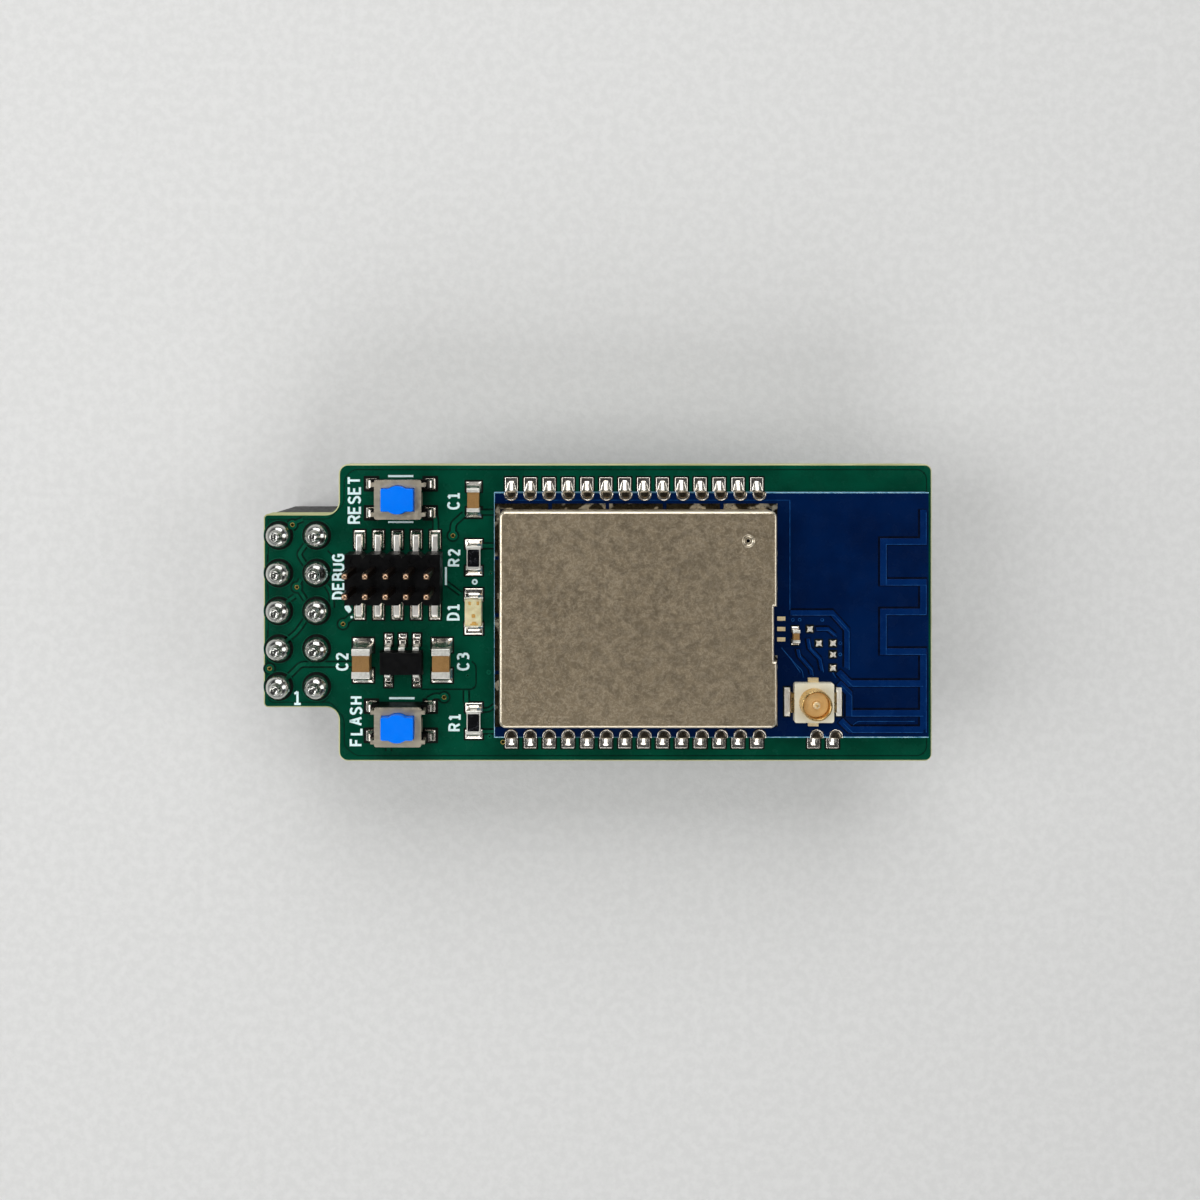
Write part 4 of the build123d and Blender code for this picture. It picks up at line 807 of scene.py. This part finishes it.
stroke = 0.152
glyphs = {
    "R": [[(0, 0), (0, 1)],
          [(-0.08, 1), (0.33, 1), (0.5, 0.94), (0.57, 0.75), (0.5, 0.56), (0.33, 0.49), (0, 0.49)],
          [(0.3, 0.49), (0.58, 0)]],
    "E": [[(0.56, 1), (0, 1), (0, 0), (0.56, 0)], [(0, 0.52), (0.46, 0.52)]],
    "S": [[(0.55, 0.86), (0.43, 0.97), (0.27, 1), (0.11, 0.95), (0.02, 0.82), (0.04, 0.67), (0.14, 0.58),
           (0.29, 0.52), (0.45, 0.45), (0.55, 0.32), (0.55, 0.17), (0.45, 0.05), (0.29, 0), (0.12, 0.03),
           (0.01, 0.14)]],
    "T": [[(-0.02, 1), (0.6, 1)], [(0.29, 1), (0.29, 0)]],
    "F": [[(0.56, 1), (0, 1), (0, 0)], [(0, 0.5), (0.46, 0.5)]],
    "L": [[(0.04, 1), (0.04, 0), (0.56, 0)]],
    "A": [[(-0.02, 0), (0.27, 1), (0.31, 1), (0.6, 0)], [(0.09, 0.31), (0.49, 0.31)]],
    "H": [[(0, 0), (0, 1)], [(0.56, 0), (0.56, 1)], [(0, 0.52), (0.56, 0.52)]],
    "C": [[(0.56, 0.84), (0.46, 0.96), (0.3, 1), (0.14, 0.94), (0.04, 0.77), (0, 0.5), (0.04, 0.23),
           (0.14, 0.06), (0.3, 0), (0.46, 0.04), (0.56, 0.16)]],
    "D": [[(0.22, 0), (0, 0), (0, 1), (0.22, 1), (0.42, 0.92), (0.53, 0.73), (0.56, 0.5), (0.53, 0.27),
           (0.42, 0.08), (0.22, 0)]],
    "B": [[(0.3, 0.53), (0, 0.53)], [(0.3, 0), (0, 0), (0, 1), (0.3, 1), (0.45, 0.93), (0.5, 0.77),
           (0.45, 0.6), (0.3, 0.53), (0.48, 0.45), (0.56, 0.27), (0.49, 0.07), (0.3, 0)]],
    "U": [[(0, 1), (0, 0.24), (0.07, 0.07), (0.2, 0), (0.36, 0), (0.49, 0.07), (0.56, 0.24), (0.56, 1)]],
    "G": [[(0.55, 0.86), (0.45, 0.97), (0.3, 1), (0.14, 0.94), (0.04, 0.77), (0, 0.5), (0.04, 0.23),
           (0.14, 0.06), (0.3, 0), (0.46, 0.04), (0.56, 0.14), (0.56, 0.47), (0.34, 0.47)]],
    "1": [[(0.06, 0.82), (0.31, 1), (0.31, 0)], [(0.05, 0), (0.57, 0)]],
    "2": [[(0.02, 0.83), (0.12, 0.96), (0.28, 1), (0.45, 0.95), (0.53, 0.81), (0.5, 0.65), (0.36, 0.45),
           (0.03, 0), (0.57, 0)]],
    "3": [[(0.04, 0.92), (0.2, 1), (0.38, 0.98), (0.5, 0.87), (0.51, 0.7), (0.41, 0.57), (0.22, 0.53)],
          [(0.22, 0.53), (0.44, 0.49), (0.56, 0.35), (0.55, 0.16), (0.42, 0.04), (0.24, 0), (0.06, 0.05)]],
}
ink_base, ink_top = board_top + 0.004, board_top + 0.025
sharp_turn = radians(100)  # a line is broken there, as a mitre would be too long


def letters(bm, words, x, y, height, advance, upright=False):
    """Letters centred on a point, reading up the board unless upright."""
    size = height - stroke
    span = advance * (len(words) - 1) + 0.56 * size
    for k, letter in enumerate(words):
        for line in glyphs[letter]:
            points = [(k * advance + px * size - span / 2, py * size - size / 2) for px, py in line]
            if not upright:
                points = [(-v, u) for u, v in points]
            points = [Vector((x + u, y + v)) for u, v in points]
            start = 0
            for i in range(1, len(points)):
                last = i == len(points) - 1
                if last or (points[i] - points[i - 1]).angle(points[i + 1] - points[i]) > sharp_turn:
                    ribbon(bm, points[start:i + 1], stroke, ink_base, ink_top)
                    start = i


bm = bmesh.new()
for words, x, y, height, advance in (
    ("RESET", 3.8, 7.45, 0.9, 0.655),
    ("FLASH", 3.92, -7.43, 0.87, 0.7),
    ("DEBUG", 2.72, 2.3, 0.85, 0.63),
    ("C2", 2.98, -3.42, 0.86, 0.68),
    ("C1", 10.47, 7.4, 0.86, 0.64),
    ("R2", 10.51, 3.58, 0.84, 0.66),
    ("D1", 10.45, -0.08, 0.86, 0.6),
    ("C3", 11.12, -3.42, 0.86, 0.66),
    ("R1", 10.54, -7.5, 0.84, 0.66),
):
    letters(bm, words, x, y, height, advance)
letters(bm, "1", -0.05, -5.85, 0.98, 0.6, upright=True)
for start, end, y, width in (
    (6.07, 7.77, 9.06, 0.14),
    (6.07, 7.77, 5.97, 0.12),
    (6.15, 7.85, -5.88, 0.14),
    (6.15, 7.85, -9.12, 0.12),
):
    ribbon(bm, [(start, y), (end, y)], width, ink_base, ink_top)
ribbon(bm, [(9.96, 2.94), (9.96, 1.74)], 0.13, ink_base, ink_top)
washer(bm, 11.9, 1.95, 0.085, 0.2, ink_base, ink_top)
mark = [(3.12, 0.27), (3.3, 0.42), (3.46, 0.36), (3.62, 0.08), (3.52, -0.1), (3.42, -0.14), (3.22, 0.06)]
slab(bm, mark, ink_base, ink_top)
lathe(bm, 3.62, -0.42, [(0.085, ink_base), (0.085, ink_top), (0, ink_top + 0.004)], 20)
piece("printed_lettering", bm, ink)

# Pale routed edge between the notches: bare laminate, its paleness also a painted highlight along the lit
# edge, darker beside the can as painted shade
bm = bmesh.new()
low, high = module_low + 0.025, module_high - 0.025
land_half, rim_top = 0.44, module_top + 0.012
for y, stops in ((high, notches), (low, notches + extra_notches)):
    start = module_left
    for stop in stops + [module_right + land_half]:
        ribbon(bm, [(start, y), (stop - land_half, y)], 0.06, module_foot, rim_top)
        start = stop + land_half
ribbon(bm, [(module_left + 0.025, low), (module_left + 0.025, high)], 0.05, module_foot, rim_top)
piece("routed_edge_and_highlight", bm, rim_and_highlight_look)

# Outlines of the copper under the blue mask: dark gaps shifted up and left as painted shade, thin pale lines
# on the lower right as painted highlight
outer_x, inner_x = module_right - 0.36, module_right - 3.02
meander = [(outer_x, module_high - 1.15)]
for turn, inset in enumerate((3.27, 5.98, 7.94, 10.58)):
    ends = (outer_x, inner_x) if turn % 2 == 0 else (inner_x, outer_x)
    meander += [(x, module_high - inset) for x in ends]
copper = [(meander + [(outer_x, module_low + 0.53)], 0.44)]
for leg in (
    [(5.24, 3.6), (6.02, 4.38)],
    [(5.3, 1.62), (5.3, 2.95), (6.0, 3.65)],
    [(5.25, 0.53), (5.87, 1.15)],
):
    points = [(module_right - x, module_low + y) for x, y in leg]
    copper.append(([(outer_x - 0.2, points[0][1])] + points, 0.44))
for line, width in (
    ([(-1.5, 5.9), (1.26, 5.9), (2.26, 4.79), (2.26, 2.25)], 0.36),
    ([(0.2, 4.83), (1.0, 4.83), (1.5, 4.4)], 0.24),
    ([(-0.33, 4.2), (-0.22, 3.57), (0.46, 2.85), (0.62, 2.05)], 0.24),
    ([(-1.0, 3.5), (-0.9, 3.04), (-0.13, 2.19), (-0.06, 1.8)], 0.24),
):
    copper.append(([(coax_x + x, coax_y + y) for x, y in line], width))
bm, pale = bmesh.new(), bmesh.new()
for points, width in copper:
    shaded_side = [(x - 0.04, y + 0.04) for x, y in points]
    ribbon(bm, shaded_side, width + 0.17, module_foot, module_top + 0.005)
    shift = width / 2 - 0.04
    ribbon(pale, [(x + shift, y - shift) for x, y in points], 0.035, module_top + 0.03, module_top + 0.056)
piece("blue_copper_gaps_and_shade", bm, blue_gap_and_shade)

# More thin pale lines and rings under the blue mask: painted highlight
for points, width in (
    ([(32.9, 7.5), (32.9, 0.2)], 0.05),
    ([(14.0, 7.5), (32.9, 7.5)], 0.03),
    ([(32.35, -2.31), (33.0, -3.1), (33.6, -3.95)], 0.05),
    ([(32.35, -2.31), (33.3, -3.4), (33.75, -3.85), (33.8, -4.3)], 0.04),
    ([(36.2, -7.2), (37.0, -7.95)], 0.04),
    ([(34.85, -7.75), (35.3, -8.2)], 0.05),
    ([(37.1, -7.45), (37.4, -7.2), (41.2, -7.2)], 0.035),
    ([(35.75, -3.95), (35.95, -4.3)], 0.05),
):
    ribbon(pale, bent(points, 0.2), width, module_foot, module_top + 0.02)
for x, y in ((33.1, -0.45), (33.55, -0.45), (35.05, -0.45), (36.25, -2.0), (36.25, -2.75), (36.7, -3.55)):
    washer(pale, x, y, 0.07, 0.115, module_foot, module_top + 0.025, 20)
piece("blue_copper_glints", pale, blue_glint)

# Lip and bowl of the dimple in the can, and the inner floor of the coaxial port

bm = bmesh.new()
bowl = [(0.43, -0.01), (0.425, 0.012), (0.4, 0.022), (0.372, 0.012), (0.355, -0.02), (0.32, -0.08),
        (0.25, -0.112), (0.18, -0.12), (0.15, -0.112), (0.125, -0.122), (0.115, -0.15)]
lathe(bm, dimple_x, dimple_y, [(r, can_top + h) for r, h in bowl], 48)
piece("can_dimple", bm, can_metal, smooth=True)

bm = bmesh.new()
floor_curve = [(0.855, 11.66), (0.84, 11.72), (0.78, 11.735), (0.62, 11.725), (0.58, 11.71), (0.54, 11.72),
               (0.36, 11.7), (0.32, 11.71), (0.29, 11.74), (0.265, 11.75), (0.255, 11.72), (0.252, 11.505)]
lathe(bm, coax_x, coax_y, floor_curve, 56)
piece("coax_floor", bm, coax_tan, smooth=True)

# The light's cast block, longer than its chip, and the gold that shows through it
bm = bmesh.new()
outlines = []
for width, length, level in (
    (1.19, 1.86, 10.455),
    (1.17, 1.84, 10.6),
    (1.12, 1.78, 10.79),
    (1.08, 1.74, 10.83),
    (1.0, 1.66, lens_top),
):
    plan = rounded(light_x, light_y, width, length, 0.1)
    outlines.append([bm.verts.new((x, y, level)) for x, y in plan])
for low, high in zip(outlines, outlines[1:]):
    for k in range(len(low)):
        m = (k + 1) % len(low)
        bm.faces.new((low[k], low[m], high[m], high[k]))
bm.faces.new(outlines[-1])
bm.faces.new(outlines[0][::-1])
lens = piece("light_block", bm, resin)
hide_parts("light_lens")
bm = bmesh.new()
for x, y, width, length in (
    (-0.23, 0.66, 0.17, 0.24),
    (0.31, 0.66, 0.17, 0.24),
    (0.02, -0.17, 0.24, 0.24),
    (0.06, -0.74, 0.52, 0.12),
    (0.06, -0.62, 0.3, 0.12),
):
    slab(bm, rounded(light_x + x, light_y + y, width, length, 0.03), lens_top - 0.03, lens_top + 0.005)
piece("light_pads", bm, amber)

# Floor

floor_half = 0.8  # metres
bm = bmesh.new()
for x, y in ((-1, -1), (1, -1), (1, 1), (-1, 1)):
    bm.verts.new((floor_half * x + 0.02, floor_half * y, -0.02 * MM))
bm.faces.new(bm.verts)
mesh = bpy.data.meshes.new("floor")
bm.to_mesh(mesh)
bm.free()
floor = bpy.data.objects.new("floor", mesh)
bpy.context.scene.collection.objects.link(floor)
mesh.materials.append(floor_look.mat)

# Four soft lamps round the board: turn and lift in degrees, distance and size in metres, power
middle = Vector((0.0202, 0.0, 0.0101))
for turn, lift, reach, wide, deep, power in (
    (90, 42, 0.27, 0.22, 0.17, 0.42),
    (180, 40, 0.27, 0.16, 0.17, 0.36),
    (0, 38, 0.27, 0.12, 0.14, 0.14),
    (270, 38, 0.27, 0.2, 0.14, 0.26),
):
    light = bpy.data.lights.new("softbox", "AREA")
    light.shape = "RECTANGLE"
    light.size, light.size_y = wide, deep
    light.energy = power
    lamp = bpy.data.objects.new("softbox", light)
    turn, lift = radians(turn), radians(lift)
    way = Vector((cos(turn) * cos(lift), sin(turn) * cos(lift), sin(lift)))
    lamp.location = middle + way * reach
    lamp.rotation_euler = way.to_track_quat("Z", "Y").to_euler()
    bpy.context.scene.collection.objects.link(lamp)

# Sky, dark overhead and pale towards the horizon
world = bpy.data.worlds.new("studio")
bpy.context.scene.world = world
world.use_nodes = True
sky = world.node_tree
way = sky.nodes.new("ShaderNodeTexCoord").outputs["Generated"]
split = sky.nodes.new("ShaderNodeSeparateXYZ")
level = sky.nodes.new("ShaderNodeMath")
level.operation = "ABSOLUTE"
band = sky.nodes.new("ShaderNodeMapRange")
band.interpolation_type = "SMOOTHSTEP"
for socket, value in (("From Min", 0.06), ("From Max", 0.4), ("To Min", 0.55), ("To Max", 0.035)):
    band.inputs[socket].default_value = value
sky.links.new(way, split.inputs["Vector"])
sky.links.new(split.outputs["Z"], level.inputs[0])
sky.links.new(level.outputs[0], band.inputs["Value"])
sky.links.new(band.outputs["Result"], sky.nodes["Background"].inputs["Strength"])
sky.nodes["Background"].inputs["Color"].default_value = (0.95, 0.97, 1.0, 1.0)

# The photograph looks straight down from over a point beyond the can's upper edge
photo_size = 1200  # pixels
pixel = 1 / 14.86  # millimetres on the board's top
axis_px, axis_py = 544, 430  # where the line of sight is upright
board_px, board_py = 597.8, 612.7  # where the middle of the board shows
board_x, board_y = 20.18, -0.13
distance = 70.0
camera_data = bpy.data.cameras.new("camera")
camera_data.sensor_width = 36
camera_data.angle = 2 * atan(photo_size / 2 * pixel / distance)
camera_data.shift_x = (photo_size / 2 - axis_px) / photo_size
camera_data.shift_y = -(photo_size / 2 - axis_py) / photo_size
camera_data.clip_start = 0.002
camera_data.clip_end = 10
camera = bpy.data.objects.new("camera", camera_data)
camera.location = (
    (board_x - (board_px - axis_px) * pixel) * MM,
    (board_y + (board_py - axis_py) * pixel) * MM,
    (board_top + distance) * MM,
)
bpy.context.scene.collection.objects.link(camera)
bpy.context.scene.camera = camera
bpy.context.scene.view_settings.view_transform = "Standard"
